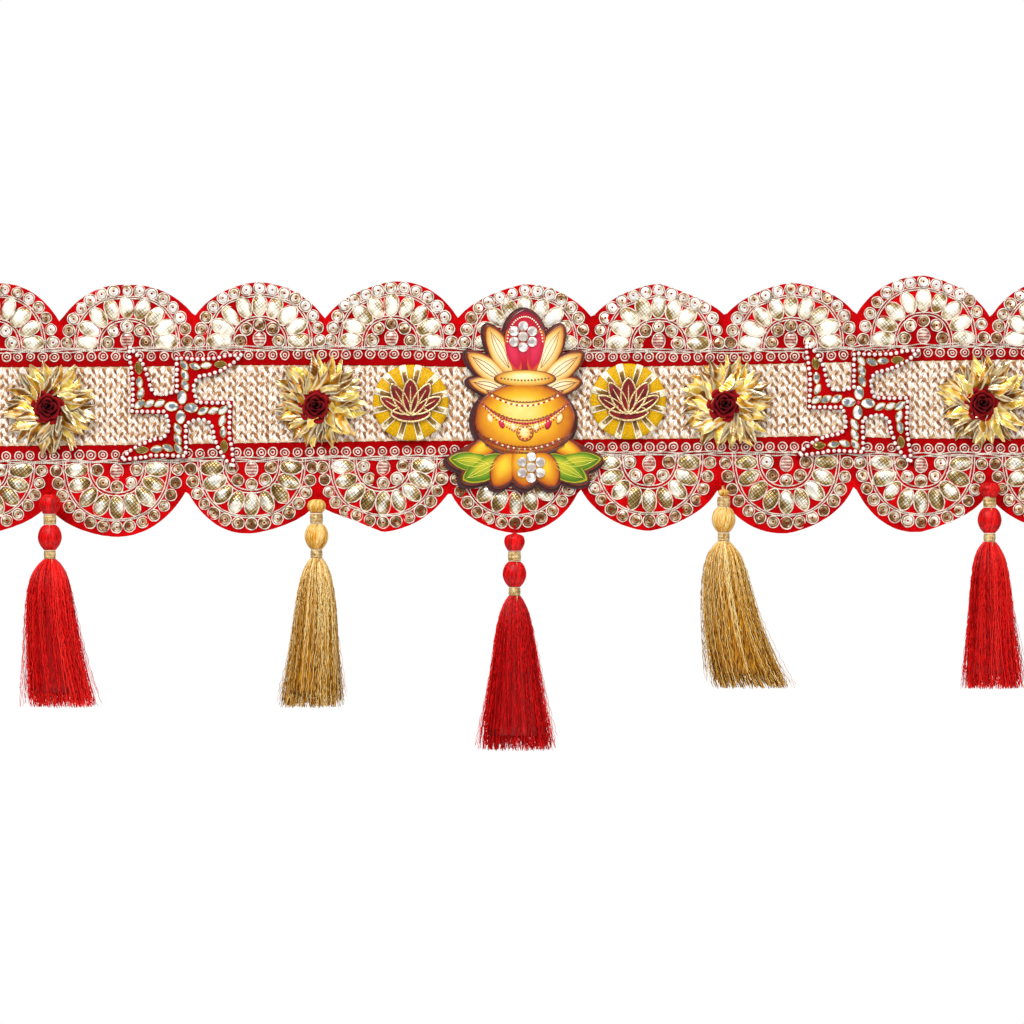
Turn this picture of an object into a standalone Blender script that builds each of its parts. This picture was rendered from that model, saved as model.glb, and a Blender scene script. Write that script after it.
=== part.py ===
"""Toran door hanging: two scalloped lace borders on a stiffened base strip, with a woven band between them.

On the band are gathered foil rosettes with cloth roses, felt motifs, thread-wound discs with a badge each, and a
two-layer plaque. Five knotted tassels hang from the lower border. Metres. +X runs along the band to the right, +Z is
up, and -Y is the front. The origin is the middle of the top edge, in the plane of the wall behind.
"""

import math
import random

import bmesh
import bpy
from mathutils import Vector

LENGTH = 1.016
END = LENGTH / 2

# Depths, front to back. Y is negative in front of the wall, so each piece has a back face and a thickness.
GAP = 0.0003
BASE_THICKNESS = 0.0015
BORDER_BACK = -(BASE_THICKNESS + GAP)
BORDER_THICKNESS = 0.0012
BAND_THICKNESS = 0.0021
BAND_FRONT = BORDER_BACK - BAND_THICKNESS
TRIM_BACK = BAND_FRONT - GAP

# Where the band's lines run, and how unevenly the sewn cloth lies: each row is one place along the length.
# Columns: x, upper cord line, top of the woven band, bottom of the woven band, lower cord line.
LINES = [
    (-0.5080, -0.0574, -0.0714, -0.1382, -0.1523),
    (-0.3396, -0.0561, -0.0706, -0.1367, -0.1510),
    (-0.2333, -0.0548, -0.0693, -0.1350, -0.1490),
    (-0.1058, -0.0542, -0.0697, -0.1333, -0.1479),
    (-0.0293, -0.0569, -0.0714, -0.1330, -0.1462),
    (0.0642, -0.0565, -0.0710, -0.1318, -0.1442),
    (0.1492, -0.0571, -0.0697, -0.1312, -0.1442),
    (0.2597, -0.0553, -0.0671, -0.1287, -0.1436),
    (0.3192, -0.0531, -0.0660, -0.1311, -0.1454),
    (0.4042, -0.0527, -0.0647, -0.1312, -0.1454),
    (0.5080, -0.0536, -0.0655, -0.1318, -0.1458),
]
UPPER_CORD, BAND_TOP, BAND_BOTTOM, LOWER_CORD = 1, 2, 3, 4
BASE_MARGIN = 0.006
EDGE_GAP = 0.0004

# Scallops. Columns of the notches: x, z. Columns of the scallops between them: z of the tip, how far the tip curls
# forward, and how far the left and the right flank stand out beyond a round arc.
UPPER_NOTCHES = [
    (-0.5080, -0.0314), (-0.3948, -0.0323), (-0.2801, -0.0276), (-0.1696, -0.0297), (-0.0565, -0.0289),
    (0.0574, -0.0289), (0.1704, -0.0270), (0.2818, -0.0263), (0.3957, -0.0289), (0.5080, -0.0289),
]
UPPER_SCALLOPS = [
    (0.0000, 0.0020, 0.0000, 0.0020),
    (-0.0010, 0.0012, 0.0017, 0.0003),
    (0.0012, 0.0022, -0.0010, -0.0005),
    (0.0017, 0.0010, -0.0025, 0.0014),
    (-0.0004, 0.0006, -0.0028, -0.0005),
    (0.0000, 0.0014, -0.0015, -0.0048),
    (0.0006, 0.0024, -0.0020, -0.0008),
    (0.0068, 0.0010, -0.0005, -0.0020),
    (0.0025, 0.0018, 0.0012, 0.0000),
]
LOWER_NOTCHES = [
    (-0.5181, -0.1768), (-0.4050, -0.1880), (-0.2869, -0.1751), (-0.1764, -0.1860), (-0.0633, -0.1759),
    (0.0472, -0.1734), (0.1645, -0.1742), (0.2801, -0.1709), (0.3931, -0.1780), (0.5100, -0.1751),
]
LOWER_SCALLOPS = [
    (-0.2130, 0.0010, 0.0000, -0.0035),
    (-0.2150, 0.0022, -0.0025, 0.0016),
    (-0.2120, 0.0014, 0.0028, -0.0035),
    (-0.2108, 0.0024, -0.0075, 0.0000),
    (-0.2117, 0.0006, -0.0014, 0.0008),
    (-0.2099, 0.0018, -0.0010, -0.0030),
    (-0.2119, 0.0012, 0.0005, -0.0020),
    (-0.2106, 0.0022, 0.0028, -0.0050),
    (-0.2099, 0.0012, -0.0020, 0.0000),
]
ARC_STEPS = 10

# Foil rosettes and the cloth roses on them. Columns: rosette x, z, turn in degrees, rose x, z.
ROSETTES = [
    (-0.4016, -0.1050, 4, -0.4033, -0.1050),
    (-0.1742, -0.0994, 13, -0.1768, -0.1041),
    (0.1721, -0.1020, 8, 0.1691, -0.1027),
    (0.3897, -0.0999, 1, 0.3872, -0.1020),
]
ROSETTE_POINTS = 20
# Columns: radius at a point, radius between points, Y at a point, Y between points, swirl in degrees.
# The hub sits under the rose and the outer ring about the rosette's own middle, so a last column gives the share.
HUB_Y = -0.0085
ROSETTE_RINGS = [
    (0.0120, 0.0120, HUB_Y, HUB_Y, 0, 0.0),
    (0.0230, 0.0210, -0.0165, -0.0125, 9, 0.5),
    (0.0400, 0.0310, -0.0100, -0.0070, 26, 1.0),
]
ROSE_LOBES = 5
ROSE_SIDES = 15
# Columns: radius, Y, depth of the lobes.
ROSE_RINGS = [
    (0.0080, HUB_Y - GAP, 0.0000),
    (0.0138, -0.0118, 0.0012),
    (0.0132, -0.0150, 0.0011),
    (0.0095, -0.0185, 0.0007),
    (0.0060, -0.0172, 0.0000),
    (0.0030, -0.0192, 0.0000),
]
ROSE_TOP = -0.0188

# Felt motif with four bent arms. Columns: across, up, for the arm that points up; the others are its quarter turns.
FELT_CENTRES = [("left", -0.2911, -0.1049), ("right", 0.2832, -0.1011)]
FELT_THICKNESS = 0.0012
FELT_ARM = [
    (-0.0060, 0.0145),
    (-0.0055, 0.0437),
    (0.0180, 0.0428),
    (0.0540, 0.0467),
    (0.0450, 0.0368),
    (0.0352, 0.0297),
    (0.0245, 0.0262),
    (0.0145, 0.0240),
    (0.0098, 0.0200),
    (0.0098, 0.0150),
    (0.0118, 0.0100),
]

# Thread-wound discs. Columns: radius, Y. The middle dips where the winding crosses.
DISC_CENTRES = [("left", -0.0965, -0.1011), ("right", 0.0880, -0.1000)]
DISC_SIDES = 28
DISC_RINGS = [(0.0300, TRIM_BACK), (0.0318, -0.0062), (0.0295, -0.0085), (0.0200, -0.0102), (0.0080, -0.0088)]
DISC_MIDDLE = -0.0080

# Badge on each disc: a lotus outline, as petals that overlap. Columns: centre x, z, half length, half width, tilt.
BADGE_BACK = -0.0105
BADGE_THICKNESS = 0.0022
BADGE_PETALS = [
    (0.0000, 0.0050, 0.0160, 0.0078, 90),
    (-0.0085, 0.0025, 0.0165, 0.0068, 120),
    (0.0085, 0.0025, 0.0165, 0.0068, 60),
    (-0.0140, -0.0025, 0.0145, 0.0060, 150),
    (0.0140, -0.0025, 0.0145, 0.0060, 30),
    (0.0000, -0.0095, 0.0180, 0.0080, 0),
]
BADGE_SAMPLES = 56

# Plaque: a water pot with leaves and a crowning bud on a lotus seat, as ovals that overlap.
# Columns: centre x, z from the plaque's middle, half length, half width, tilt of the long axis.
PLAQUE_CENTRE = (0.0004, -0.0978)
PLAQUE_OVALS = [
    (0.0000, -0.0180, 0.0440, 0.0330, 0),
    (0.0000, 0.0170, 0.0270, 0.0080, 0),
    (0.0000, 0.0480, 0.0285, 0.0190, 90),
    (-0.0200, 0.0390, 0.0270, 0.0105, 117),
    (0.0200, 0.0390, 0.0270, 0.0105, 63),
    (-0.0300, 0.0240, 0.0250, 0.0100, 142),
    (0.0300, 0.0240, 0.0250, 0.0100, 38),
    (-0.0290, 0.0100, 0.0200, 0.0080, 165),
    (0.0290, 0.0100, 0.0200, 0.0080, 15),
    (0.0000, -0.0560, 0.0204, 0.0150, 90),
    (-0.0170, -0.0590, 0.0190, 0.0120, 240),
    (0.0170, -0.0590, 0.0190, 0.0120, -60),
    (-0.0330, -0.0590, 0.0240, 0.0110, 207),
    (0.0330, -0.0590, 0.0240, 0.0110, -27),
    (-0.0430, -0.0540, 0.0235, 0.0095, 172),
    (0.0430, -0.0540, 0.0235, 0.0095, 8),
]
PLAQUE_HUB = (0.0, -0.0150)
PLAQUE_SAMPLES = 96
BOARD_BACK = TRIM_BACK - 0.0002
BOARD_THICKNESS = 0.0030
BOARD_MARGIN = 0.0022
BOARD_SHIFT = (-0.0014, -0.0012)
PRINT_THICKNESS = 0.0020
PRINT_BACK = BOARD_BACK - BOARD_THICKNESS - GAP
PRINT_FRONT = PRINT_BACK - PRINT_THICKNESS

# Clusters of round stones glued on the plaque.
STONE_FLOWERS = [("upper", -0.0011, -0.0452), ("lower", 0.0057, -0.1560)]
STONE_RADIUS = 0.0040
STONE_RING = 0.0088
STONE_COUNT = 6
STONE_HEIGHT = 0.0028

# Tassels. Columns: name, yarn, x and z of the knob's top, its radius and height, and the stem above it.
TASSELS = [
    ("one", "red", -0.4018, -0.1790, 0.0092, 0.0165, 0.0000),
    ("two", "gold", -0.1761, -0.1832, 0.0080, 0.0115, 0.0000),
    ("three", "red", -0.0085, -0.2117, 0.0088, 0.0150, 0.0065),
    ("four", "gold", 0.1685, -0.1745, 0.0046, 0.0060, 0.0030),
    ("five", "red", 0.3936, -0.1690, 0.0090, 0.0120, 0.0000),
]
# Their skirts. Columns: how far the foot leans to the right, half its width, how much the skirt swells just below
# the waist, and its length.
SKIRTS = {
    "one": (0.0110, 0.0265, 0.0120, 0.1250),
    "two": (-0.0042, 0.0248, 0.0078, 0.1260),
    "three": (0.0018, 0.0300, 0.0068, 0.1300),
    "four": (0.0235, 0.0310, 0.0110, 0.1240),
    "five": (0.0026, 0.0232, 0.0092, 0.1240),
}
TASSEL_SIDES = 14
KNOB_CLEARANCE = 0.0004
BORDER_FRONT = BORDER_BACK - BORDER_THICKNESS
TASSEL_Y = BORDER_FRONT - KNOB_CLEARANCE - 0.0092
STEM_RADIUS = 0.0012
NECK_RADIUS = 0.0056
NECK_HEIGHT = 0.0085
BALL_RADIUS = 0.0100
BALL_HEIGHT = 0.0215
WAIST_RADIUS = 0.0052
WAIST_HEIGHT = 0.0070
HEAD_HEIGHT = 0.0090
HEAD_TOP_RADIUS = 0.0050
HEAD_RADIUS = 0.0092
SWELL_SHARE = 0.08
LOCK_SECTORS = 12
LOCK_RINGS = [0.0012, 0.0038, 0.0065, HEAD_RADIUS]
LOCK_REACH = 0.0084
LOCK_STEPS = 4
LOCK_INSET = 0.00035
FOOT_DEPTH_RATIO = 0.58


def remove_all_objects():
    for obj in list(bpy.data.objects):
        bpy.data.objects.remove(obj, do_unlink=True)


def make_material(name, colour, roughness, metallic=0.0):
    """A plain Principled finish. The colour is linear red, green and blue."""
    material = bpy.data.materials.new(name)
    material.use_nodes = True
    shader = material.node_tree.nodes["Principled BSDF"]
    shader.inputs["Base Color"].default_value = (*colour, 1.0)
    shader.inputs["Roughness"].default_value = roughness
    shader.inputs["Metallic"].default_value = metallic
    return material


def make_materials():
    return {
        "red_cloth": make_material("red_cloth", (0.62, 0.005, 0.012), 0.85),
        "woven_braid": make_material("woven_braid", (0.76, 0.62, 0.44), 0.6),
        "gold_foil": make_material("gold_foil", (0.80, 0.55, 0.18), 0.28, 0.9),
        "rose_cloth": make_material("rose_cloth", (0.30, 0.003, 0.010), 0.9),
        "red_felt": make_material("red_felt", (0.60, 0.004, 0.010), 0.95),
        "yellow_thread": make_material("yellow_thread", (0.85, 0.50, 0.01), 0.5),
        "maroon_plate": make_material("maroon_plate", (0.18, 0.004, 0.008), 0.35),
        "dark_board": make_material("dark_board", (0.035, 0.006, 0.008), 0.55),
        "printed_sheet": make_material("printed_sheet", (0.85, 0.45, 0.05), 0.35),
        "clear_stone": make_material("clear_stone", (0.75, 0.75, 0.75), 0.1),
        "red_silk": make_material("red_silk", (0.62, 0.004, 0.008), 0.4),
        "gold_silk": make_material("gold_silk", (0.62, 0.40, 0.13), 0.4),
        "gold_thread": make_material("gold_thread", (0.66, 0.46, 0.20), 0.4, 0.3),
    }


def add_object(name, points, faces, material, smooth=False):
    """One closed body from its points and faces, with its faces turned outwards."""
    mesh = bpy.data.meshes.new(name)
    mesh.from_pydata(points, [], faces)
    body = bmesh.new()
    body.from_mesh(mesh)
    bmesh.ops.recalc_face_normals(body, faces=body.faces)
    body.to_mesh(mesh)
    body.free()
    mesh.materials.append(material)
    if smooth:
        mesh.shade_smooth()
        mesh.set_sharp_from_angle(angle=math.radians(50))
    obj = bpy.data.objects.new(name, mesh)
    bpy.context.scene.collection.objects.link(obj)
    return obj


def line_z(x, column):
    """Height of one of the band's lines at x, straight between the rows of LINES."""
    for before, after in zip(LINES, LINES[1:]):
        if x <= after[0]:
            share = max(0.0, (x - before[0]) / (after[0] - before[0]))
            return before[column] + share * (after[column] - before[column])
    return LINES[-1][column]


def scalloped_edge(notches, scallops):
    """Points (x, z, curl) along a scalloped edge: one arc from each notch to the next, through its tip."""
    edge = []
    for (left, left_z), (right, right_z), (tip_z, curl, left_flank, right_flank) in zip(notches, notches[1:], scallops):
        half = (right - left) / 2
        middle_z = (left_z + right_z) / 2
        rise = abs(tip_z - middle_z)
        outward = math.copysign(1, tip_z - middle_z)
        radius = (half * half + rise * rise) / (2 * rise)
        for step in range(ARC_STEPS):
            share = step / ARC_STEPS
            across = 2 * share - 1
            arch = math.sqrt(radius**2 - (half * across) ** 2) - (radius - rise)
            flank = left_flank if share < 0.5 else right_flank
            z = left_z + (right_z - left_z) * share + outward * (arch + flank * abs(math.sin(2 * math.pi * share)))
            edge.append((left + half * (across + 1), z, curl * arch / rise))
    edge.append((*notches[-1], 0.0))
    return clipped_edge(edge)


def clipped_edge(edge):
    """The same edge cut off square at the two ends of the hanging."""
    inside = [point for point in edge if -END + 0.001 < point[0] < END - 0.001]
    first, last = inside[0], inside[-1]
    return [(-END, first[1], first[2]), *inside, (END, last[1], last[2])]


def add_sheet(name, columns, thickness, material):
    """A sheet from columns of points (x, z, Y of the back), each from one long edge to the other."""
    rows = len(columns[0])
    points = [(x, y - depth, z) for depth in (0.0, thickness) for column in columns for x, z, y in column]
    side = len(columns) * rows

    def at(front, column, row):
        return front * side + column * rows + row

    faces = []
    for front in (0, 1):
        for column in range(len(columns) - 1):
            for row in range(rows - 1):
                faces.append((at(front, column, row), at(front, column + 1, row),
                              at(front, column + 1, row + 1), at(front, column, row + 1)))
    for column in range(len(columns) - 1):
        for row in (0, rows - 1):
            faces.append((at(0, column, row), at(0, column + 1, row),
                          at(1, column + 1, row), at(1, column, row)))
    for column in (0, len(columns) - 1):
        for row in range(rows - 1):
            faces.append((at(0, column, row), at(0, column, row + 1),
                          at(1, column, row + 1), at(1, column, row)))
    return add_object(name, points, faces, material)


def add_border(name, edge, inner_line, inner_gap, cord_line, material):
    """A scalloped lace border: a straight edge beside the woven band, flat up to the cord line, then the scallops."""
    columns = []
    for x, z, curl in edge:
        columns.append([
            (x, line_z(x, inner_line) + inner_gap, BORDER_BACK),
            (x, line_z(x, cord_line), BORDER_BACK),
            (x, z, BORDER_BACK - curl),
        ])
    return add_sheet(name, columns, BORDER_THICKNESS, material)


def add_base_strip(material):
    columns = []
    for row in LINES:
        low = row[LOWER_CORD] - BASE_MARGIN
        high = row[UPPER_CORD] + BASE_MARGIN
        columns.append([(row[0], low, 0.0), (row[0], high, 0.0)])
    return add_sheet("base_strip", columns, BASE_THICKNESS, material)


def add_woven_band(material):
    columns = [[(row[0], row[BAND_BOTTOM], BORDER_BACK), (row[0], row[BAND_TOP], BORDER_BACK)] for row in LINES]
    return add_sheet("woven_band", columns, BAND_THICKNESS, material)


def add_rings(name, rings, first_cap, last_cap, material):
    """A body lofted through closed rings of points. A cap is a middle point, or None for one flat face."""
    count = len(rings[0])
    points = [point for ring in rings for point in ring]
    faces = []
    for ring in range(len(rings) - 1):
        for i in range(count):
            j = (i + 1) % count
            faces.append((ring * count + i, ring * count + j, (ring + 1) * count + j, (ring + 1) * count + i))
    for start, cap in ((0, first_cap), ((len(rings) - 1) * count, last_cap)):
        loop = [start + i for i in range(count)]
        if cap is None:
            faces.append(tuple(loop))
        else:
            points.append(cap)
            middle = len(points) - 1
            faces.extend((loop[i], loop[(i + 1) % count], middle) for i in range(count))
    return add_object(name, points, faces, material, smooth=True)


def around(centre_x, centre_z, y, radii, turn=0.0):
    """A ring of points in a plane of constant Y, one for each radius."""
    ring = []
    for i, radius in enumerate(radii):
        angle = 2 * math.pi * i / len(radii) + turn
        ring.append((centre_x + radius * math.cos(angle), y, centre_z + radius * math.sin(angle)))
    return ring


def add_rosette(name, x, z, turn, rose_x, rose_z, material):
    """A rosette of foil ribbon folded into points that swirl out of a flat hub."""
    count = 2 * ROSETTE_POINTS
    outer = ROSETTE_RINGS[-1]
    rings = [around(x, z, TRIM_BACK, [outer[i % 2] - 0.001 for i in range(count)], math.radians(turn + outer[4]))]
    for row in reversed(ROSETTE_RINGS):
        middle_x = rose_x + (x - rose_x) * row[5]
        middle_z = rose_z + (z - rose_z) * row[5]
        ring = around(middle_x, middle_z, 0.0, [row[i % 2] for i in range(count)], math.radians(turn + row[4]))
        rings.append([(px, row[2 + i % 2], pz) for i, (px, _, pz) in enumerate(ring)])
    return add_rings(name, rings, None, (rose_x, HUB_Y, rose_z), material)


def add_rose(name, x, z, material):
    """A small cloth rose, with lobed outer petals and a bud that stands in a dip."""
    rings = []
    for row, (radius, y, lobe) in enumerate(ROSE_RINGS):
        radii = []
        for side in range(ROSE_SIDES):
            angle = 2 * math.pi * side / ROSE_SIDES
            radii.append(radius + lobe * math.cos(ROSE_LOBES * angle + row))
        rings.append(around(x, z, y, radii))
    return add_rings(name, rings, None, (x, ROSE_TOP, z), material)


def add_plate(name, outline, back, thickness, material):
    """A flat piece cut to an outline of points (x, z)."""
    rings = [[(x, y, z) for x, z in outline] for y in (back, back - thickness)]
    return add_rings(name, rings, None, None, material)


def felt_outline(centre_x, centre_z):
    outline = []
    for quarter in range(4):
        cos, sin = [(1, 0), (0, -1), (-1, 0), (0, 1)][quarter]
        for across, up in FELT_ARM:
            outline.append((centre_x + across * cos - up * sin, centre_z + across * sin + up * cos))
    return outline


def oval_reach(hub, angle, oval):
    """How far a ray from the hub at this angle goes before it last leaves the oval, or 0 if it misses it."""
    centre_x, centre_z, long_half, short_half, tilt = oval
    tilt = math.radians(tilt)
    dx, dz = hub[0] - centre_x, hub[1] - centre_z
    start = Vector((dx * math.cos(tilt) + dz * math.sin(tilt), -dx * math.sin(tilt) + dz * math.cos(tilt)))
    way = Vector((math.cos(angle - tilt), math.sin(angle - tilt)))
    a = (way.x / long_half) ** 2 + (way.y / short_half) ** 2
    b = 2 * (start.x * way.x / long_half**2 + start.y * way.y / short_half**2)
    c = (start.x / long_half) ** 2 + (start.y / short_half) ** 2 - 1
    inside = b * b - 4 * a * c
    if inside <= 0:
        return 0.0
    return max(0.0, (-b + math.sqrt(inside)) / (2 * a))


def ovals_outline(centre, hub, ovals, samples, margin=0.0):
    """The outline round overlapping ovals, seen from their hub, grown by a margin."""
    outline = []
    for i in range(samples):
        angle = 2 * math.pi * i / samples
        reach = max(oval_reach(hub, angle, oval) for oval in ovals) + margin
        outline.append((centre[0] + hub[0] + reach * math.cos(angle), centre[1] + hub[1] + reach * math.sin(angle)))
    return outline


def add_disc(name, x, z, material):
    rings = [around(x, z, y, [radius] * DISC_SIDES) for radius, y in DISC_RINGS]
    return add_rings(name, rings, None, (x, DISC_MIDDLE, z), material)


def add_stone_flower(name, x, z, material):
    """Six round stones set about a seventh, as one low body with six lobes."""
    sides = 6 * STONE_COUNT
    base, top = [], []
    for i in range(sides):
        lobe = math.cos(STONE_COUNT * 2 * math.pi * i / sides)
        base.append(STONE_RING + STONE_RADIUS * (0.35 + 0.55 * lobe))
        top.append(STONE_RING + STONE_RADIUS * (0.35 * lobe - 0.25))
    back = PRINT_FRONT - GAP
    rings = [
        around(x, z, back, base),
        around(x, z, back - 0.6 * STONE_HEIGHT, base),
        around(x, z, back - STONE_HEIGHT, top),
    ]
    return add_rings(name, rings, None, (x, back - STONE_HEIGHT, z), material)


def turned(name, profile, material):
    """A body turned about a line that may lean. Columns of the profile: z, radius, middle x, middle y."""
    rings = []
    for z, radius, middle_x, middle_y in profile:
        ring = []
        for side in range(TASSEL_SIDES):
            angle = 2 * math.pi * side / TASSEL_SIDES
            ring.append((middle_x + radius * math.cos(angle), middle_y + radius * math.sin(angle), z))
        rings.append(ring)
    return add_rings(name, rings, None, None, material)


def knob_profile(x, top, radius, height, stem):
    """The upper knob, sewn on by its back. Where it has a stem, the stem bends back and is sewn on instead."""
    profile = []
    if stem:
        curl = 0.0006 if radius > NECK_RADIUS else 0.0
        sewn_y = BORDER_FRONT - curl - GAP - STEM_RADIUS
        knob_y = TASSEL_Y
        profile += [(top + stem, STEM_RADIUS, x, sewn_y), (top + 0.5 * stem, STEM_RADIUS, x, sewn_y)]
        profile += [(top, STEM_RADIUS * 1.3, x, 0.5 * (sewn_y + TASSEL_Y))]
    else:
        knob_y = BORDER_FRONT - KNOB_CLEARANCE - radius
        profile += [(top, 0.45 * radius, x, knob_y)]
    for down, wide in ((0.14, 0.80), (0.42, 1.00), (0.70, 0.92)):
        profile.append((top - down * height, wide * radius, x, knob_y))
    profile.append((top - height, min(0.62 * radius, NECK_RADIUS), x, knob_y))
    return profile


def ball_profile(x, top):
    profile = []
    for down, wide in ((0.0, 0.50), (0.12, 0.78), (0.35, 0.98), (0.58, 1.0), (0.82, 0.80), (1.0, 0.48)):
        profile.append((top - down * BALL_HEIGHT, wide * BALL_RADIUS, x, TASSEL_Y))
    return profile


def wrap_profile(x, top, radius, height):
    rows = ((0.0, 0.94), (0.5, 1.0), (1.0, 0.94))
    return [(top - down * height, wide * radius, x, TASSEL_Y) for down, wide in rows]


def skirt_half_width(share, foot, swell):
    """Half the skirt's width at a share of its length: it swells quickly below the waist, then widens evenly."""
    swollen = swell * (1 - math.exp(-share / SWELL_SHARE))
    return HEAD_TOP_RADIUS + swollen + (foot - HEAD_TOP_RADIUS - swell) * share


def add_skirt(name, x, top, shape, seed, material):
    """Locks of silk that hang apart from one head. The skirt is flatter front to back, as it hangs by a wall."""
    lean, foot, swell, length = shape
    chance = random.Random(seed)
    body = bmesh.new()

    def ring_at(radius, z):
        ring = []
        for sector in range(LOCK_SECTORS):
            angle = 2 * math.pi * sector / LOCK_SECTORS
            ring.append(body.verts.new((x + radius * math.cos(angle), TASSEL_Y + radius * math.sin(angle), z)))
        return ring

    head_foot = top - HEAD_HEIGHT
    top_ring = ring_at(HEAD_TOP_RADIUS, top)
    shoulder = ring_at(0.5 * (HEAD_TOP_RADIUS + HEAD_RADIUS) + 0.0008, top - 0.5 * HEAD_HEIGHT)
    hem = [ring_at(radius, head_foot) for radius in reversed(LOCK_RINGS)]
    body.faces.new(top_ring)
    body.faces.new(hem[-1])
    roots = []
    for upper, lower in zip([top_ring, shoulder, *hem[:-1]], [shoulder, *hem]):
        for i in range(LOCK_SECTORS):
            j = (i + 1) % LOCK_SECTORS
            face = body.faces.new((upper[i], upper[j], lower[j], lower[i]))
            if upper in hem:
                roots.append(face)
    bmesh.ops.recalc_face_normals(body, faces=body.faces)
    bmesh.ops.inset_individual(body, faces=roots, thickness=LOCK_INSET, use_even_offset=True)

    first_share = HEAD_HEIGHT / length
    first_width = skirt_half_width(first_share, foot, swell)
    for root in roots:
        middle = root.calc_center_median()
        u, v = (middle.x - x) / LOCK_REACH, (middle.y - TASSEL_Y) / LOCK_REACH
        corners = [(vert.co.x - middle.x, vert.co.y - middle.y) for vert in root.verts]
        end_share = chance.uniform(0.955, 1.0)
        stray = Vector((chance.uniform(-1, 1), chance.uniform(-1, 1))) * 0.0012
        face = root
        for step in range(1, LOCK_STEPS + 1):
            share = first_share + (end_share - first_share) * step / LOCK_STEPS
            width = skirt_half_width(share, foot, swell)
            depth = width * (1 + (FOOT_DEPTH_RATIO - 1) * share)
            drift = share * share
            lock_x = x + lean * drift + u * width + stray.x * share
            back_room = max(0.0, depth - HEAD_RADIUS)
            lock_y = TASSEL_Y - 0.75 * back_room + v * depth + stray.y * share
            grow = 0.78 * width / first_width
            grown = [(cx * grow, cy * grow * depth / width) for cx, cy in corners]
            new = bmesh.ops.extrude_discrete_faces(body, faces=[face])["faces"][0]
            for vert, (cx, cy) in zip(new.verts, grown):
                vert.co = (lock_x + cx, lock_y + cy, top - share * length)
            face = new

    mesh = bpy.data.meshes.new(name)
    body.to_mesh(mesh)
    body.free()
    mesh.materials.append(material)
    obj = bpy.data.objects.new(name, mesh)
    bpy.context.scene.collection.objects.link(obj)
    return obj


def add_tassel(row, seed, materials):
    """A knob, a wrapped neck, a ball, a wrapped waist and a skirt, one under the other."""
    name, yarn, x, top, radius, height, stem = row
    silk = materials[f"{yarn}_silk"]
    turned(f"tassel_{name}_knob", knob_profile(x, top, radius, height, stem), silk)
    z = top - height - GAP
    turned(f"tassel_{name}_neck", wrap_profile(x, z, NECK_RADIUS, NECK_HEIGHT), materials["gold_thread"])
    z -= NECK_HEIGHT + GAP
    turned(f"tassel_{name}_ball", ball_profile(x, z), silk)
    z -= BALL_HEIGHT + GAP
    turned(f"tassel_{name}_waist", wrap_profile(x, z, WAIST_RADIUS, WAIST_HEIGHT), materials["gold_thread"])
    z -= WAIST_HEIGHT + GAP
    add_skirt(f"tassel_{name}_skirt", x, z, SKIRTS[name], seed, silk)


def build():
    remove_all_objects()
    materials = make_materials()
    add_base_strip(materials["red_cloth"])
    add_woven_band(materials["woven_braid"])
    upper = scalloped_edge(UPPER_NOTCHES, UPPER_SCALLOPS)
    lower = scalloped_edge(LOWER_NOTCHES, LOWER_SCALLOPS)
    add_border("upper_border", upper, BAND_TOP, EDGE_GAP, UPPER_CORD, materials["red_cloth"])
    add_border("lower_border", lower, BAND_BOTTOM, -EDGE_GAP, LOWER_CORD, materials["red_cloth"])
    for number, (x, z, turn, rose_x, rose_z) in enumerate(ROSETTES, start=1):
        add_rosette(f"foil_rosette_{number}", x, z, turn, rose_x, rose_z, materials["gold_foil"])
        add_rose(f"cloth_rose_{number}", rose_x, rose_z, materials["rose_cloth"])
    for side, x, z in FELT_CENTRES:
        add_plate(f"felt_motif_{side}", felt_outline(x, z), TRIM_BACK, FELT_THICKNESS, materials["red_felt"])
    for side, x, z in DISC_CENTRES:
        add_disc(f"wound_disc_{side}", x, z, materials["yellow_thread"])
        badge = ovals_outline((x, z), (0.0, -0.004), BADGE_PETALS, BADGE_SAMPLES)
        add_plate(f"lotus_badge_{side}", badge, BADGE_BACK, BADGE_THICKNESS, materials["maroon_plate"])
    shifted = (PLAQUE_CENTRE[0] + BOARD_SHIFT[0], PLAQUE_CENTRE[1] + BOARD_SHIFT[1])
    board = ovals_outline(shifted, PLAQUE_HUB, PLAQUE_OVALS, PLAQUE_SAMPLES, BOARD_MARGIN)
    add_plate("plaque_board", board, BOARD_BACK, BOARD_THICKNESS, materials["dark_board"])
    print_outline = ovals_outline(PLAQUE_CENTRE, PLAQUE_HUB, PLAQUE_OVALS, PLAQUE_SAMPLES)
    add_plate("plaque_print", print_outline, PRINT_BACK, PRINT_THICKNESS, materials["printed_sheet"])
    for place, x, z in STONE_FLOWERS:
        add_stone_flower(f"stone_flower_{place}", x, z, materials["clear_stone"])
    for seed, row in enumerate(TASSELS):
        add_tassel(row, seed, materials)


build()
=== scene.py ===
"""Looks of the toran door hanging: velvet borders with couched cord, foil petals and sequins, a braided band, foil
rosettes with roses, pearled felt motifs, thread-wound discs, a glossy plaque and silk tassels.

Metres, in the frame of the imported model: X to the right, Z up, the wall at Y = 0 and the front towards -Y.
"""

import math
import random

import bmesh
import bpy
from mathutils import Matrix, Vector, noise


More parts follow.
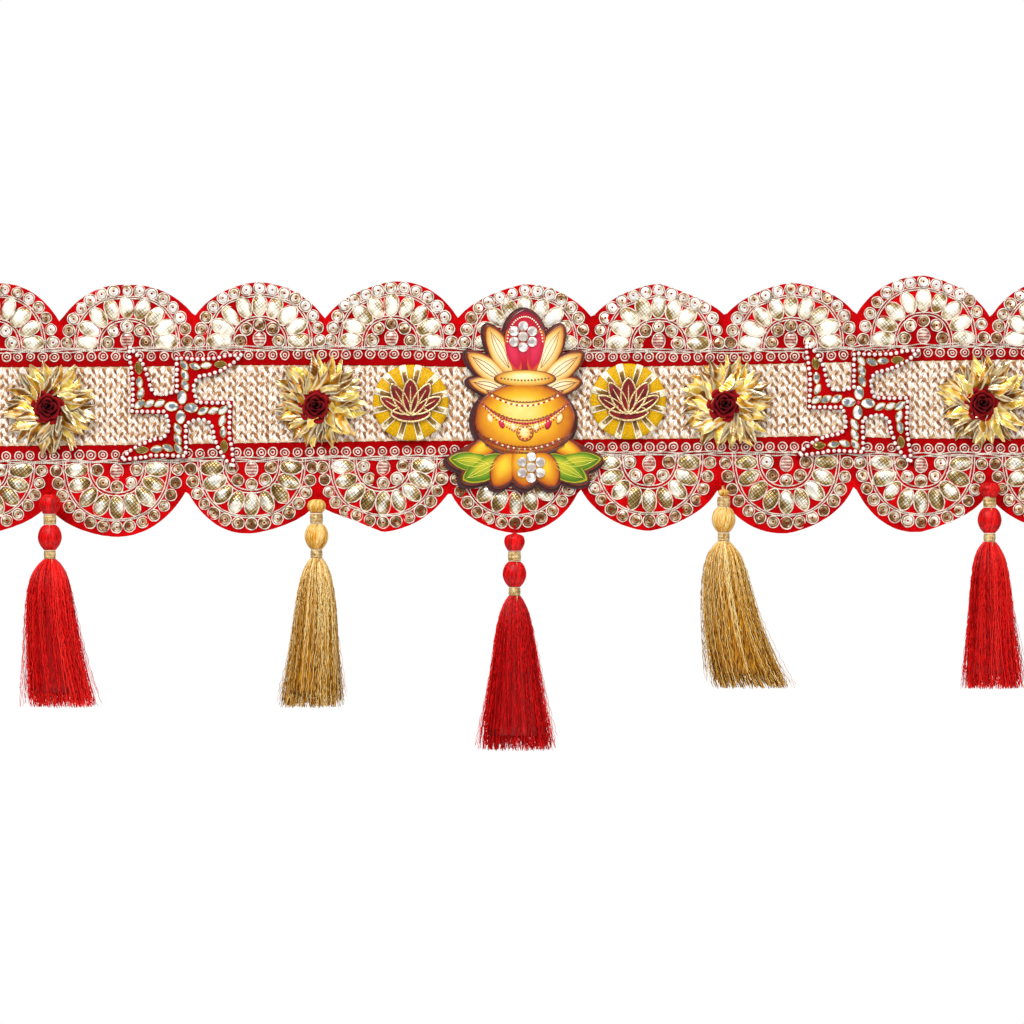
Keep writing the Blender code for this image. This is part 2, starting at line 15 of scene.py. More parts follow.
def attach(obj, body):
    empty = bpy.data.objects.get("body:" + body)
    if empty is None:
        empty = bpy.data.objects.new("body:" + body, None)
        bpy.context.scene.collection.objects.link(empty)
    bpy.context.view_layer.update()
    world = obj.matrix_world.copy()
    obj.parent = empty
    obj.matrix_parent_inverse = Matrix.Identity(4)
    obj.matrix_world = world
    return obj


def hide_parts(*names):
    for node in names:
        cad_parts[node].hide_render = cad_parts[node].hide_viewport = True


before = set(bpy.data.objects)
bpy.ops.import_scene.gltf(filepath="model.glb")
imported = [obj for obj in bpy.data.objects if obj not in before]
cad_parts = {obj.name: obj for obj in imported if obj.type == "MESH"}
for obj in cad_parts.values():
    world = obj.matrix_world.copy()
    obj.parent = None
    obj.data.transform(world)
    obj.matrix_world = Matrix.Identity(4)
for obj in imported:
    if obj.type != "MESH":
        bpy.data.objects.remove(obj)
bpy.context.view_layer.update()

FULL_TURN = 2 * math.pi
END = 0.508
BORDER_BACK, BORDER_THICKNESS = -0.0018, 0.0012
BORDER_FRONT = BORDER_BACK - BORDER_THICKNESS
TRIM_BACK = -0.0042

# The band's lines, as sewn. Columns: x, upper cord line, top of the band, bottom of the band, lower cord line.
LINES = [
    (-0.5080, -0.0574, -0.0714, -0.1382, -0.1523), (-0.3396, -0.0561, -0.0706, -0.1367, -0.1510),
    (-0.2333, -0.0548, -0.0693, -0.1350, -0.1490), (-0.1058, -0.0542, -0.0697, -0.1333, -0.1479),
    (-0.0293, -0.0569, -0.0714, -0.1330, -0.1462), (0.0642, -0.0565, -0.0710, -0.1318, -0.1442),
    (0.1492, -0.0571, -0.0697, -0.1312, -0.1442), (0.2597, -0.0553, -0.0671, -0.1287, -0.1436),
    (0.3192, -0.0531, -0.0660, -0.1311, -0.1454), (0.4042, -0.0527, -0.0647, -0.1312, -0.1454),
    (0.5080, -0.0536, -0.0655, -0.1318, -0.1458),
]
UPPER_CORD, BAND_TOP, BAND_BOTTOM, LOWER_CORD = 1, 2, 3, 4

# The borders. way is the way the scallops point. cord and band are columns of LINES. width is that of the cloth, and
# pressed is how strongly painted shade darkens the velvet inside the inner arches. A notch is x and z. A scallop is
# the z of its tip, how far it curls forward, and how far each flank stands beyond a round arc. What is sewn on a
# scallop is in millimetres from the middle of its cord line, for a scallop of the nominal height, and grows and shrinks
# with it.
BORDERS = {
    "upper": {
        "way": 1, "cord": UPPER_CORD, "band": BAND_TOP, "width": 0.084, "pressed": 1.0, "seed": 11, "nominal": 56.8,
        "notches": [
            (-0.5080, -0.0314), (-0.3948, -0.0323), (-0.2801, -0.0276), (-0.1696, -0.0297), (-0.0565, -0.0289),
            (0.0574, -0.0289), (0.1704, -0.0270), (0.2818, -0.0263), (0.3957, -0.0289), (0.5080, -0.0289),
        ],
        "scallops": [
            (0.0000, 0.0020, 0.0000, 0.0020), (-0.0010, 0.0012, 0.0017, 0.0003), (0.0012, 0.0022, -0.0010, -0.0005),
            (0.0017, 0.0010, -0.0025, 0.0014), (-0.0004, 0.0006, -0.0028, -0.0005), (0.0000, 0.0014, -0.0015, -0.0048),
            (0.0006, 0.0024, -0.0020, -0.0008), (0.0068, 0.0010, -0.0005, -0.0020), (0.0025, 0.0018, 0.0012, 0.0000),
        ],
        "arcs": [(22.7, 25.1), (24.9, 27.3), (42.9, 45.7), (44.9, 47.3)],
        "petals": (34.0, 6.5, 31.0),
        "sequins": (51.4, 52.3, 6.4),
        "inner_sequins": [(-16.2, 6.4), (-11.1, 16.7), (0.0, 20.4), (11.1, 16.7), (16.2, 6.4)],
        "oval": 8.3,
    },
    "lower": {
        "way": -1, "cord": LOWER_CORD, "band": BAND_BOTTOM, "width": 0.087, "pressed": 0.3, "seed": 12, "nominal": 65.6,
        "notches": [
            (-0.5181, -0.1768), (-0.4050, -0.1880), (-0.2869, -0.1751), (-0.1764, -0.1860), (-0.0633, -0.1759),
            (0.0472, -0.1734), (0.1645, -0.1742), (0.2801, -0.1709), (0.3931, -0.1780), (0.5100, -0.1751),
        ],
        "scallops": [
            (-0.2130, 0.0010, 0.0000, -0.0035), (-0.2150, 0.0022, -0.0025, 0.0016), (-0.2120, 0.0014, 0.0028, -0.0035),
            (-0.2108, 0.0024, -0.0075, 0.0000), (-0.2117, 0.0006, -0.0014, 0.0008), (-0.2099, 0.0018, -0.0010, -0.0030),
            (-0.2119, 0.0012, 0.0005, -0.0020), (-0.2106, 0.0022, 0.0028, -0.0050), (-0.2099, 0.0012, -0.0020, 0.0000),
        ],
        "arcs": [(22.9, 27.1), (25.0, 29.8), (43.4, 50.2), (45.7, 51.5)],
        "petals": (34.0, 7.4, 32.9),
        "sequins": (51.9, 57.1, 7.4),
        "inner_sequins": [(-16.7, 7.2), (-11.7, 18.4), (0.0, 22.3), (11.7, 18.4), (16.7, 7.2)],
        "oval": 8.6,
    },
}
ARC_POWER, SEQUIN_POWER = 2.35, 2.2
PETAL_COUNT, SEQUIN_COUNT = 9, 15
CORD_RADIUS = 0.00054
RING_PITCH, RING_OFFSET = 0.0103, 0.0056
CORD_LANES, LANE_STEPS = (-0.0013, 0.0, 0.0013), 500
ARC_STEPS, ARC_DRIFT_MM = (26, 44), 0.35
SEQUIN_ROOM = 0.0068
EDGE_MARGIN, PETAL_MARGIN, ARC_MARGIN = 0.0052, 0.0165, 0.0118

# Ornaments along the band. Columns: rosette x, z, rose x, z.
ROSETTES = [
    (-0.4016, -0.1050, -0.4033, -0.1050), (-0.1742, -0.0994, -0.1768, -0.1041),
    (0.1721, -0.1020, 0.1691, -0.1027), (0.3897, -0.0999, 0.3872, -0.1020),
]
ROSETTE_TIERS = [
    # count, root radius, size along, size across, Y, swirl in radians, how far the points stand up
    (27, 0.0160, 0.99, 1.10, -0.0050, 0.55, 0.05),
    (22, 0.0140, 0.92, 1.00, -0.0078, 0.75, 0.14),
    (16, 0.0115, 0.76, 0.95, -0.0106, 0.95, 0.26),
]
ROSE_TIERS = [
    # petals, radius at the foot and at the lip, Y at the foot and at the lip, span of a petal in radians
    (5, 0.0085, 0.0148, -0.0100, -0.0128, 1.60), (5, 0.0066, 0.0112, -0.0112, -0.0158, 1.65),
    (3, 0.0042, 0.0074, -0.0122, -0.0176, 2.40), (3, 0.0022, 0.0046, -0.0130, -0.0186, 2.50),
    (1, 0.0008, 0.0020, -0.0135, -0.0190, 5.00),
]

# Felt motifs, for the arm that points up. The pearls' path and the stones are in millimetres from the middle.
FELT_CENTRES = [("left", -0.2911, -0.1049), ("right", 0.2832, -0.1011)]
FELT_ARM = [
    (-0.0060, 0.0145), (-0.0055, 0.0437), (0.0180, 0.0428), (0.0540, 0.0467), (0.0450, 0.0368), (0.0352, 0.0297),
    (0.0245, 0.0262), (0.0145, 0.0240), (0.0098, 0.0200), (0.0098, 0.0150), (0.0118, 0.0100),
]
PEARL_PATH = [
    (11.9, 9.4), (10.6, 15.3), (11.1, 21.3), (15.3, 25.9), (25.5, 28.1), (34.9, 31.5), (44.2, 37.4), (51.0, 44.2),
    (40.8, 43.8), (25.5, 41.2), (12.8, 40.8), (-3.8, 41.7), (-3.8, 13.6),
]
PEARL_PITCH, PEARL_RADIUS = 0.0046, 0.00172
ARM_STONES = [
    # across, up, direction of the long axis in degrees, how gold it is
    (3.2, 18.5, 118, 0.1), (3.0, 27.2, 116, 0.3), (2.5, 35.5, 128, 0.2),
    (11.5, 34.6, -22, 0.1), (21.0, 35.5, 4, 0.2), (33.2, 36.3, 6, 0.9),
]

DISC_CENTRES = [("left", -0.0965, -0.1011), ("right", 0.0880, -0.1000)]
DISC_PROFILE = [
    # radius, Y
    (0.0300, TRIM_BACK), (0.0312, -0.0048), (0.0320, -0.0058), (0.0318, -0.0068), (0.0308, -0.0078), (0.0290, -0.0088),
    (0.0262, -0.0096), (0.0228, -0.0101), (0.0190, -0.0102), (0.0150, -0.0099), (0.0110, -0.0092), (0.0070, -0.0085),
]
DISC_RIM, STRIP_COUNT = 0.029, 12
BADGE_BACK, BADGE_THICKNESS = -0.0105, 0.0016
BADGE_PETALS = [
    # centre x, z, half length, half width, tilt in degrees; from the back one to the front one
    (0.0000, -0.0095, 0.0180, 0.0080, 0), (-0.0140, -0.0025, 0.0145, 0.0060, 150),
    (0.0140, -0.0025, 0.0145, 0.0060, 30), (-0.0085, 0.0025, 0.0165, 0.0068, 120),
    (0.0085, 0.0025, 0.0165, 0.0068, 60), (0.0000, 0.0050, 0.0160, 0.0078, 90),
]

# Clusters of round stones on the plaque: x and z of the middle one. The other six stand round it.
STONE_FLOWERS = [(-0.0011, -0.0452), (0.0057, -0.1560)]
STONE_REACH = 0.0089

# Tassels. Columns: name, yarn, x and z of the knob's top, its radius and height, and the stem above it. Then the
# skirt: how far the foot leans to the right, half its width, how much it swells below the waist, and its length.
TASSELS = [
    ("one", "red", -0.4018, -0.1790, 0.0092, 0.0165, 0.0000, 0.0110, 0.0265, 0.0120, 0.1250),
    ("two", "gold", -0.1761, -0.1832, 0.0080, 0.0115, 0.0000, -0.0042, 0.0248, 0.0078, 0.1260),
    ("three", "red", -0.0085, -0.2117, 0.0088, 0.0150, 0.0065, 0.0018, 0.0300, 0.0068, 0.1300),
    ("four", "gold", 0.1685, -0.1745, 0.0046, 0.0060, 0.0030, 0.0235, 0.0310, 0.0110, 0.1240),
    ("five", "red", 0.3936, -0.1690, 0.0090, 0.0120, 0.0000, 0.0026, 0.0232, 0.0092, 0.1240),
]
TASSEL_Y = -0.0126
NECK_RADIUS, NECK_HEIGHT = 0.0056, 0.0085
BALL_RADIUS, BALL_HEIGHT = 0.0100, 0.0215
WAIST_RADIUS, WAIST_HEIGHT = 0.0052, 0.0070
PIECE_GAP = 0.0003
STRANDS, STRAYS, STRAND_STEPS = 870, 46, 33
# A skirt's half width at the waist, the share of its length in which it swells, its depth at the foot as a share of its
# width, how much of it the core fills, and the half depth past which it stands off the wall.
WAIST_HALF_WIDTH, SWELL_SHARE, FOOT_DEPTH_RATIO, CORE_SHARE, WALL_ROOM = 0.0050, 0.08, 0.58, 0.86, 0.0092


# Small tools.

def srgb(text):
    """A hex colour as linear red, green, blue and alpha."""
    parts = [int(text[start:start + 2], 16) / 255 for start in (1, 3, 5)]
    return (*(part / 12.92 if part <= 0.04045 else ((part + 0.055) / 1.055) ** 2.4 for part in parts), 1.0)


def add_node(tree, kind, inputs=None, out=0, stops=(), blend="LINEAR", **settings):
    """Adds a node with its settings, and returns the output called out, or all of them for None.

    An input is given by name or place, as a value, a hex colour or a socket to link. stops are a ramp's rows of
    (place, hex colour), and blend is how it runs between them.
    """
    node = tree.nodes.new(kind)
    for name, value in settings.items():
        setattr(node, name, value)
    for key, value in (inputs or {}).items():
        if isinstance(value, bpy.types.NodeSocket):
            tree.links.new(value, node.inputs[key])
        else:
            node.inputs[key].default_value = srgb(value) if str(value).startswith("#") else value
    if stops:
        node.color_ramp.interpolation = blend
        for _ in stops[2:]:
            node.color_ramp.elements.new(0.5)
        for element, (place, colour) in zip(node.color_ramp.elements, stops):
            element.position, element.color = place, srgb(colour)
    return node.outputs if out is None else node.outputs[out]


def between(value, low=0.0, high=1.0):
    """The value, kept between low and high."""
    return min(high, max(low, value))


def uneven(*place):
    """Smooth unevenness at a place, from -1 to 1."""
    return noise.noise(Vector(place))


def round_points(count):
    """Angles that go once round, with their cosines and sines."""
    return [(angle, math.cos(angle), math.sin(angle)) for angle in (FULL_TURN * i / count for i in range(count))]


def facing(angle, chance, tilt=0.10):
    """Turn for a shape drawn in the XZ plane: spun about Y by the angle, and tipped a little either way."""
    return (chance.uniform(-tilt, tilt), -angle, chance.uniform(-tilt, tilt))


# Meshes. A shape is its points and faces, and may have values by name, one for each point.

def new_mesh(name, points, faces, edges=(), **values):
    mesh = bpy.data.meshes.new(name)
    mesh.from_pydata(points, list(edges), faces)
    mesh.update()
    for key, row in values.items():
        vectors = hasattr(row[0], "__len__")
        attribute = mesh.attributes.new(key, "FLOAT_VECTOR" if vectors else "FLOAT", "POINT")
        flat = [part for value in row for part in value] if vectors else row
        attribute.data.foreach_set("vector" if vectors else "value", flat)
    return mesh


def add_object(name, mesh):
    obj = bpy.data.objects.new(name, mesh)
    bpy.context.scene.collection.objects.link(obj)
    return obj


def add_body(name, shape, finish=None, smooth_angle=None):
    """A shape as a closed body, turned outwards. Edges sharper than smooth_angle stay crisp."""
    mesh = new_mesh(name, shape[0], shape[1], **(shape[2] if len(shape) > 2 else {}))
    body = bmesh.new()
    body.from_mesh(mesh)
    bmesh.ops.recalc_face_normals(body, faces=body.faces)
    body.to_mesh(mesh)
    body.free()
    if finish:
        mesh.materials.append(FINISHES[finish])
    mesh.shade_smooth()
    if smooth_angle:
        mesh.set_sharp_from_angle(angle=math.radians(smooth_angle))
    return add_object(name, mesh)


def hand_over(obj, slot, *replaced):
    """Rides a finished piece on the hanging and hides the CAD nodes it stands for. slot, the finish it would name, is
    not used.
    """
    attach(obj, "root")
    if replaced:
        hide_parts(*replaced)
    return obj


def lofted(rings, first_tip=None, last_tip=None):
    """A shape through closed rings. Each end is drawn to a tip, or is one flat face."""
    count = len(rings[0])
    points = [point for ring in rings for point in ring]
    faces = [(start + i, start + (i + 1) % count, start + count + (i + 1) % count, start + count + i)
             for start in range(0, (len(rings) - 1) * count, count) for i in range(count)]
    for start, tip in ((0, first_tip), ((len(rings) - 1) * count, last_tip)):
        if tip is None:
            faces.append(tuple(range(start, start + count)))
        else:
            points.append(tip)
            faces += [(start + i, start + (i + 1) % count, len(points) - 1) for i in range(count)]
    return points, faces


def stacked(outline, rows, tip=None, foot=None, middle=(0.0, 0.0), light=(0.0, 0.0)):
    """A shape over an outline of (x, z), through rows of (share of its width, Y). tip and foot are the Y of its ends.

    light is how far the upper rings lean to one side.
    """
    rings = [[(middle[0] + light[0] * (1 - share) + (x - middle[0]) * share, y,
               middle[1] + light[1] * (1 - share) + (z - middle[1]) * share) for x, z in outline] for share, y in rows]
    ends = [None if y is None else (middle[0] + light[0], y, middle[1] + light[1]) for y in (foot, tip)]
    return lofted(rings, *ends)


def joined(shapes):
    """Several shapes as one."""
    points, faces, values = [], [], {}
    for shape in shapes:
        start = len(points)
        points.extend(shape[0])
        faces.extend(tuple(start + i for i in face) for face in shape[1])
        for name, row in (shape[2] if len(shape) > 2 else {}).items():
            values.setdefault(name, []).extend(row)
    return points, faces, values


def moved(shape, x, z):
    return [(x + px, py, z + pz) for px, py, pz in shape[0]], shape[1]


def thick_sheet(front, columns, rows, thickness=0.0, back=None, **values):
    """A closed sheet from a grid of points given column by column, thickened towards +Y or closed by a back grid."""
    size = columns * rows
    faces = [(a, a + rows, a + rows + 1, a + 1) for start in (0, size) for i in range(columns - 1)
             for a in range(start + i * rows, start + i * rows + rows - 1)]
    rim = [i * rows for i in range(columns)] + [size - rows + j for j in range(1, rows)]
    rim += [i * rows + rows - 1 for i in range(columns - 2, -1, -1)] + list(range(rows - 2, 0, -1))
    faces += [(a, b, b + size, a + size) for a, b in zip(rim, rim[1:] + rim[:1])]
    return front + (back or [(x, y + thickness, z) for x, y, z in front]), faces, values


def oval(half_x, half_z, count, point=0.0, tilt=0.0, middle=(0.0, 0.0)):
    """An outline in the XZ plane, tilted in degrees. point above 0 draws its two ends out to points."""
    cos, sin = math.cos(math.radians(tilt)), math.sin(math.radians(tilt))
    outline = []
    for _, across, up in round_points(count):
        x, z = half_x * across, half_z * up * abs(up) ** point
        outline.append((middle[0] + x * cos - z * sin, middle[1] + x * sin + z * cos))
    return outline


def circle(radius, count):
    return oval(radius, radius, count)


def domed(outline, height, back=0.0, shares=(1.0, 0.93, 0.72, 0.4), power=2.0):
    """A cushion over an outline, bulging towards -Y. "rise" runs from 0 at its rim to 1."""
    rows = [(1.0, back)] + [(share, back - height * (1 - share**power)) for share in shares]
    rise = [1.0 - share for share, _ in rows for _ in outline] + [1.0]
    return (*stacked(outline, rows, back - height), {"rise": rise})


def tube_loop(outline, radius, sides=4, y=0.0, wobble=0.0):
    """A closed tube round an outline of (x, z)."""
    points, count = [], len(outline)
    for i, (x, z) in enumerate(outline):
        (x1, z1), (x2, z2) = outline[i - 1], outline[(i + 1) % count]
        across = Vector((x2 - x1, 0, z2 - z1)).normalized().cross(Vector((0, 1, 0)))
        off = wobble * uneven(i * 0.9, radius * 1e4, wobble * 1e4)
        for _, cos, sin in round_points(sides):
            out = across * (cos * radius + off)
            points.append((x + out.x, y - sin * radius, z + out.z))
    faces = []
    for i in range(count):
        j = (i + 1) % count
        for side in range(sides):
            other = (side + 1) % sides
            faces.append((i * sides + side, i * sides + other, j * sides + other, j * sides + side))
    return points, faces


def cut_stone(half_x, half_z, point, height, count=16):
    """A faceted stone: a low girdle, one row of slanted facets and a flat table."""
    return stacked(oval(half_x, half_z, count, point), [(1.0, 0.0), (1.0, -0.35 * height), (0.55, -height)])


def keep_in_front(obj, limit, ease=0.0003):
    """Lays a piece down wherever it would sink behind limit(x, z), the face it is sewn on."""
    for vertex in obj.data.vertices:
        past = vertex.co.y - limit(vertex.co.x, vertex.co.z) + ease
        if past > 0:
            vertex.co.y -= past - ease * (1 - math.exp(-past / ease))
    obj.data.update()
    return obj


# Geometry Nodes trees: one repeats a shape at points, one runs a cord or thread along paths.

def new_tree(name, sockets, build):
    """A tree with named inputs, ended in Realize Instances and Set Material, and its inputs' identifiers."""
    tree = bpy.data.node_groups.new(name, "GeometryNodeTree")
    tree.interface.new_socket("Geometry", in_out="INPUT", socket_type="NodeSocketGeometry")
    identifiers = {label: tree.interface.new_socket(label, in_out="INPUT", socket_type=f"NodeSocket{kind}").identifier
                   for label, kind in sockets.items()}
    tree.interface.new_socket("Geometry", in_out="OUTPUT", socket_type="NodeSocketGeometry")
    given = add_node(tree, "NodeGroupInput", out=None)
    real = add_node(tree, "GeometryNodeRealizeInstances", {0: build(tree, given)})
    finished = add_node(tree, "GeometryNodeSetMaterial", {0: real, "Material": given["Finish"]})
    add_node(tree, "NodeGroupOutput", {0: finished}, None)
    return tree, identifiers


def shapes_at_points(tree, given):
    """Puts the shape at each point, turned and sized by the point's own values, then crinkles it a little."""
    own = {name: add_node(tree, "GeometryNodeInputNamedAttribute", {"Name": name}, data_type="FLOAT_VECTOR")
           for name in ("turn", "size")}
    placed = add_node(tree, "GeometryNodeInstanceOnPoints", {
        "Points": given[0], "Instance": add_node(tree, "GeometryNodeObjectInfo", {0: given["Shape"]}, "Geometry"),
        "Rotation": add_node(tree, "FunctionNodeEulerToRotation", {0: own["turn"]}), "Scale": own["size"],
    })
    rough = add_node(tree, "ShaderNodeTexNoise", {
        "Vector": add_node(tree, "GeometryNodeInputPosition"), "Detail": 1.0,
        "Scale": add_node(tree, "ShaderNodeMath", {0: 1.0, 1: given["Crinkle size"]}, operation="DIVIDE"),
    }, "Color")
    middle = add_node(tree, "ShaderNodeVectorMath", {0: rough, 1: (0.5, 0.5, 0.5)}, operation="SUBTRACT")
    offset = add_node(tree, "ShaderNodeVectorMath", {0: middle, "Scale": given["Crinkle"]}, operation="SCALE")
    real = add_node(tree, "GeometryNodeRealizeInstances", {0: placed})
    return add_node(tree, "GeometryNodeSetPosition", {0: real, "Offset": offset})


def cord_along_paths(tree, given):
    """Runs a round section along paths. The radius is each point's "thick" value."""
    pieces = []
    for curve, name, part in (
        (add_node(tree, "GeometryNodeMeshToCurve", {0: given[0]}), "along", "Length"),
        (add_node(tree, "GeometryNodeCurvePrimitiveCircle", {"Resolution": given["Sides"], "Radius": 1.0}), "round",
         "Factor"),
    ):
        place = add_node(tree, "GeometryNodeSplineParameter", out=part)
        pieces.append(add_node(tree, "GeometryNodeStoreNamedAttribute", {0: curve, "Name": name, "Value": place},
                               data_type="FLOAT", domain="POINT"))
    thick = add_node(tree, "GeometryNodeInputNamedAttribute", {"Name": "thick"}, data_type="FLOAT")
    solid = add_node(tree, "GeometryNodeCurveToMesh", {
        "Curve": pieces[0], "Profile Curve": pieces[1], "Scale": thick, "Fill Caps": True,
    })
    return add_node(tree, "GeometryNodeSetShadeSmooth", {0: solid})


REPEAT = new_tree("repeat a shape at points", {
    "Shape": "Object", "Crinkle": "Float", "Crinkle size": "Float", "Finish": "Material",
}, shapes_at_points)
CORD = new_tree("cord along paths", {"Sides": "Int", "Finish": "Material"}, cord_along_paths)


def apply_tree(name, mesh, made, values):
    """Runs a tree on a mesh and returns the result as a plain mesh object."""
    source = add_object(name + "_source", mesh)
    modifier = source.modifiers.new("shape", "NODES")
    modifier.node_group, identifiers = made
    for label, value in values.items():
        modifier[identifiers[label]] = value
    graph = bpy.context.evaluated_depsgraph_get()
    result = bpy.data.meshes.new_from_object(
        source.evaluated_get(graph), preserve_all_data_layers=True, depsgraph=graph)
    result.name = name
    for helper in (source, values.get("Shape")):
        if helper:
            bpy.data.objects.remove(helper)
    for unused in ("turn", "size", "thick"):
        if unused in result.attributes:
            result.attributes.remove(result.attributes[unused])
    return add_object(name, result)


def repeat_shape(name, shape, places, finish, crinkle=0.0, crinkle_size=0.004, smooth_angle=None):
    """Repeats a shape at places: rows of position, turn as x, y, z angles, size, and tone from 0 to 1."""
    spots, turns, sizes, tones = zip(*places)
    sizes = [size if hasattr(size, "__len__") else (size,) * 3 for size in sizes]
    mesh = new_mesh(name, spots, [], turn=turns, size=sizes, tone=tones)
    return apply_tree(name, mesh, REPEAT, {
        "Shape": add_body(name + "_shape", shape, None, smooth_angle), "Crinkle": crinkle,
        "Crinkle size": crinkle_size, "Finish": FINISHES[finish],
    })


def run_cords(name, paths, finish, sides=5):
    """Cords or threads along paths: rows of points, radius or radii, tone from 0 to 1, and whether it is a loop."""
    points, edges, thick, tones = [], [], [], []
    for path, radius, tone, loop in paths:
        start, last = len(points), len(points) + len(path) - 1
        points.extend(path)
        thick.extend(radius if hasattr(radius, "__len__") else [radius] * len(path))
        tones.extend([tone] * len(path))
        edges.extend((i, i + 1) for i in range(start, last))
        edges.extend([(last, start)] * loop)
    mesh = new_mesh(name, points, [], edges, thick=thick, tone=tones)
    return apply_tree(name, mesh, CORD, {"Sides": sides, "Finish": FINISHES[finish]})


# Finishes.

FINISHES = {}


def new_finish(name, stops, tone, level=0.0, over=(), bump=None, blend="LINEAR", **sockets):
    """A Principled material whose colour runs through stops by a sum of patterns, with more colours laid over it.

    A sum is rows of (weight, pattern). A pattern is a value of the piece by its name, its place along "X" or "Z", a
    noise as (patches per metre, detail), or a calculation as (operation, number or pattern, rows of a sum). An ADD is
    kept between 0 and 1. over is rows of (weight, pattern, colour), and bump is distance, strength and a sum.
    """
    material = FINISHES[name] = bpy.data.materials.new(name)
    material.use_nodes = True
    tree, made = material.node_tree, {}
    shader = tree.nodes["Principled BSDF"]
    for key, value in sockets.items():
        shader.inputs[key.replace("_", " ")].default_value = value
    point = add_node(tree, "ShaderNodeTexCoord", out="Object")

    def draw(pattern):
        if pattern in ("X", "Z"):
            return add_node(tree, "ShaderNodeSeparateXYZ", {0: point}, pattern)
        if pattern == "ribs":
            return add_node(tree, "ShaderNodeTexWave", {"Vector": point, "Scale": 200.0, "Distortion": 2.0,
                                                        "Detail": 1.0}, "Fac", bands_direction="DIAGONAL")
        if isinstance(pattern, str):
            return add_node(tree, "ShaderNodeAttribute", out="Fac", attribute_name=pattern)
        first, second, *rows = pattern
        if isinstance(first, str):
            return add_node(tree, "ShaderNodeMath", {0: total(rows), 1: drawn(second)}, operation=first,
                            use_clamp=first == "ADD")
        where, scale = point, first
        if isinstance(first, tuple):
            where, scale = add_node(tree, "ShaderNodeMapping", {"Vector": point, "Scale": first}), 1.0
        return add_node(tree, "ShaderNodeTexNoise", {"Vector": where, "Scale": scale, "Detail": second}, "Fac")

    def drawn(pattern):
        if isinstance(pattern, (str, tuple)):
            if pattern not in made:
                made[pattern] = draw(pattern)
            return made[pattern]
        return pattern

    def total(rows, start=0.0):
        for weight, pattern in rows:
            start = add_node(tree, "ShaderNodeMath", {0: drawn(pattern), 1: weight, 2: start},
                             operation="MULTIPLY_ADD")
        return start

    colour = add_node(tree, "ShaderNodeValToRGB", {"Fac": total(tone, level)}, stops=stops, blend=blend)
    for weight, pattern, other in over:
        colour = add_node(tree, "ShaderNodeMix", {"Factor": total([(weight, pattern)]), 6: colour, 7: other}, 2,
                          data_type="RGBA")
    tree.links.new(colour, shader.inputs["Base Color"])
    if bump:
        distance, strength, *rows = bump
        normal = add_node(tree, "ShaderNodeBump", {"Height": total(rows), "Distance": distance, "Strength": strength})
        tree.links.new(normal, shader.inputs["Normal"])


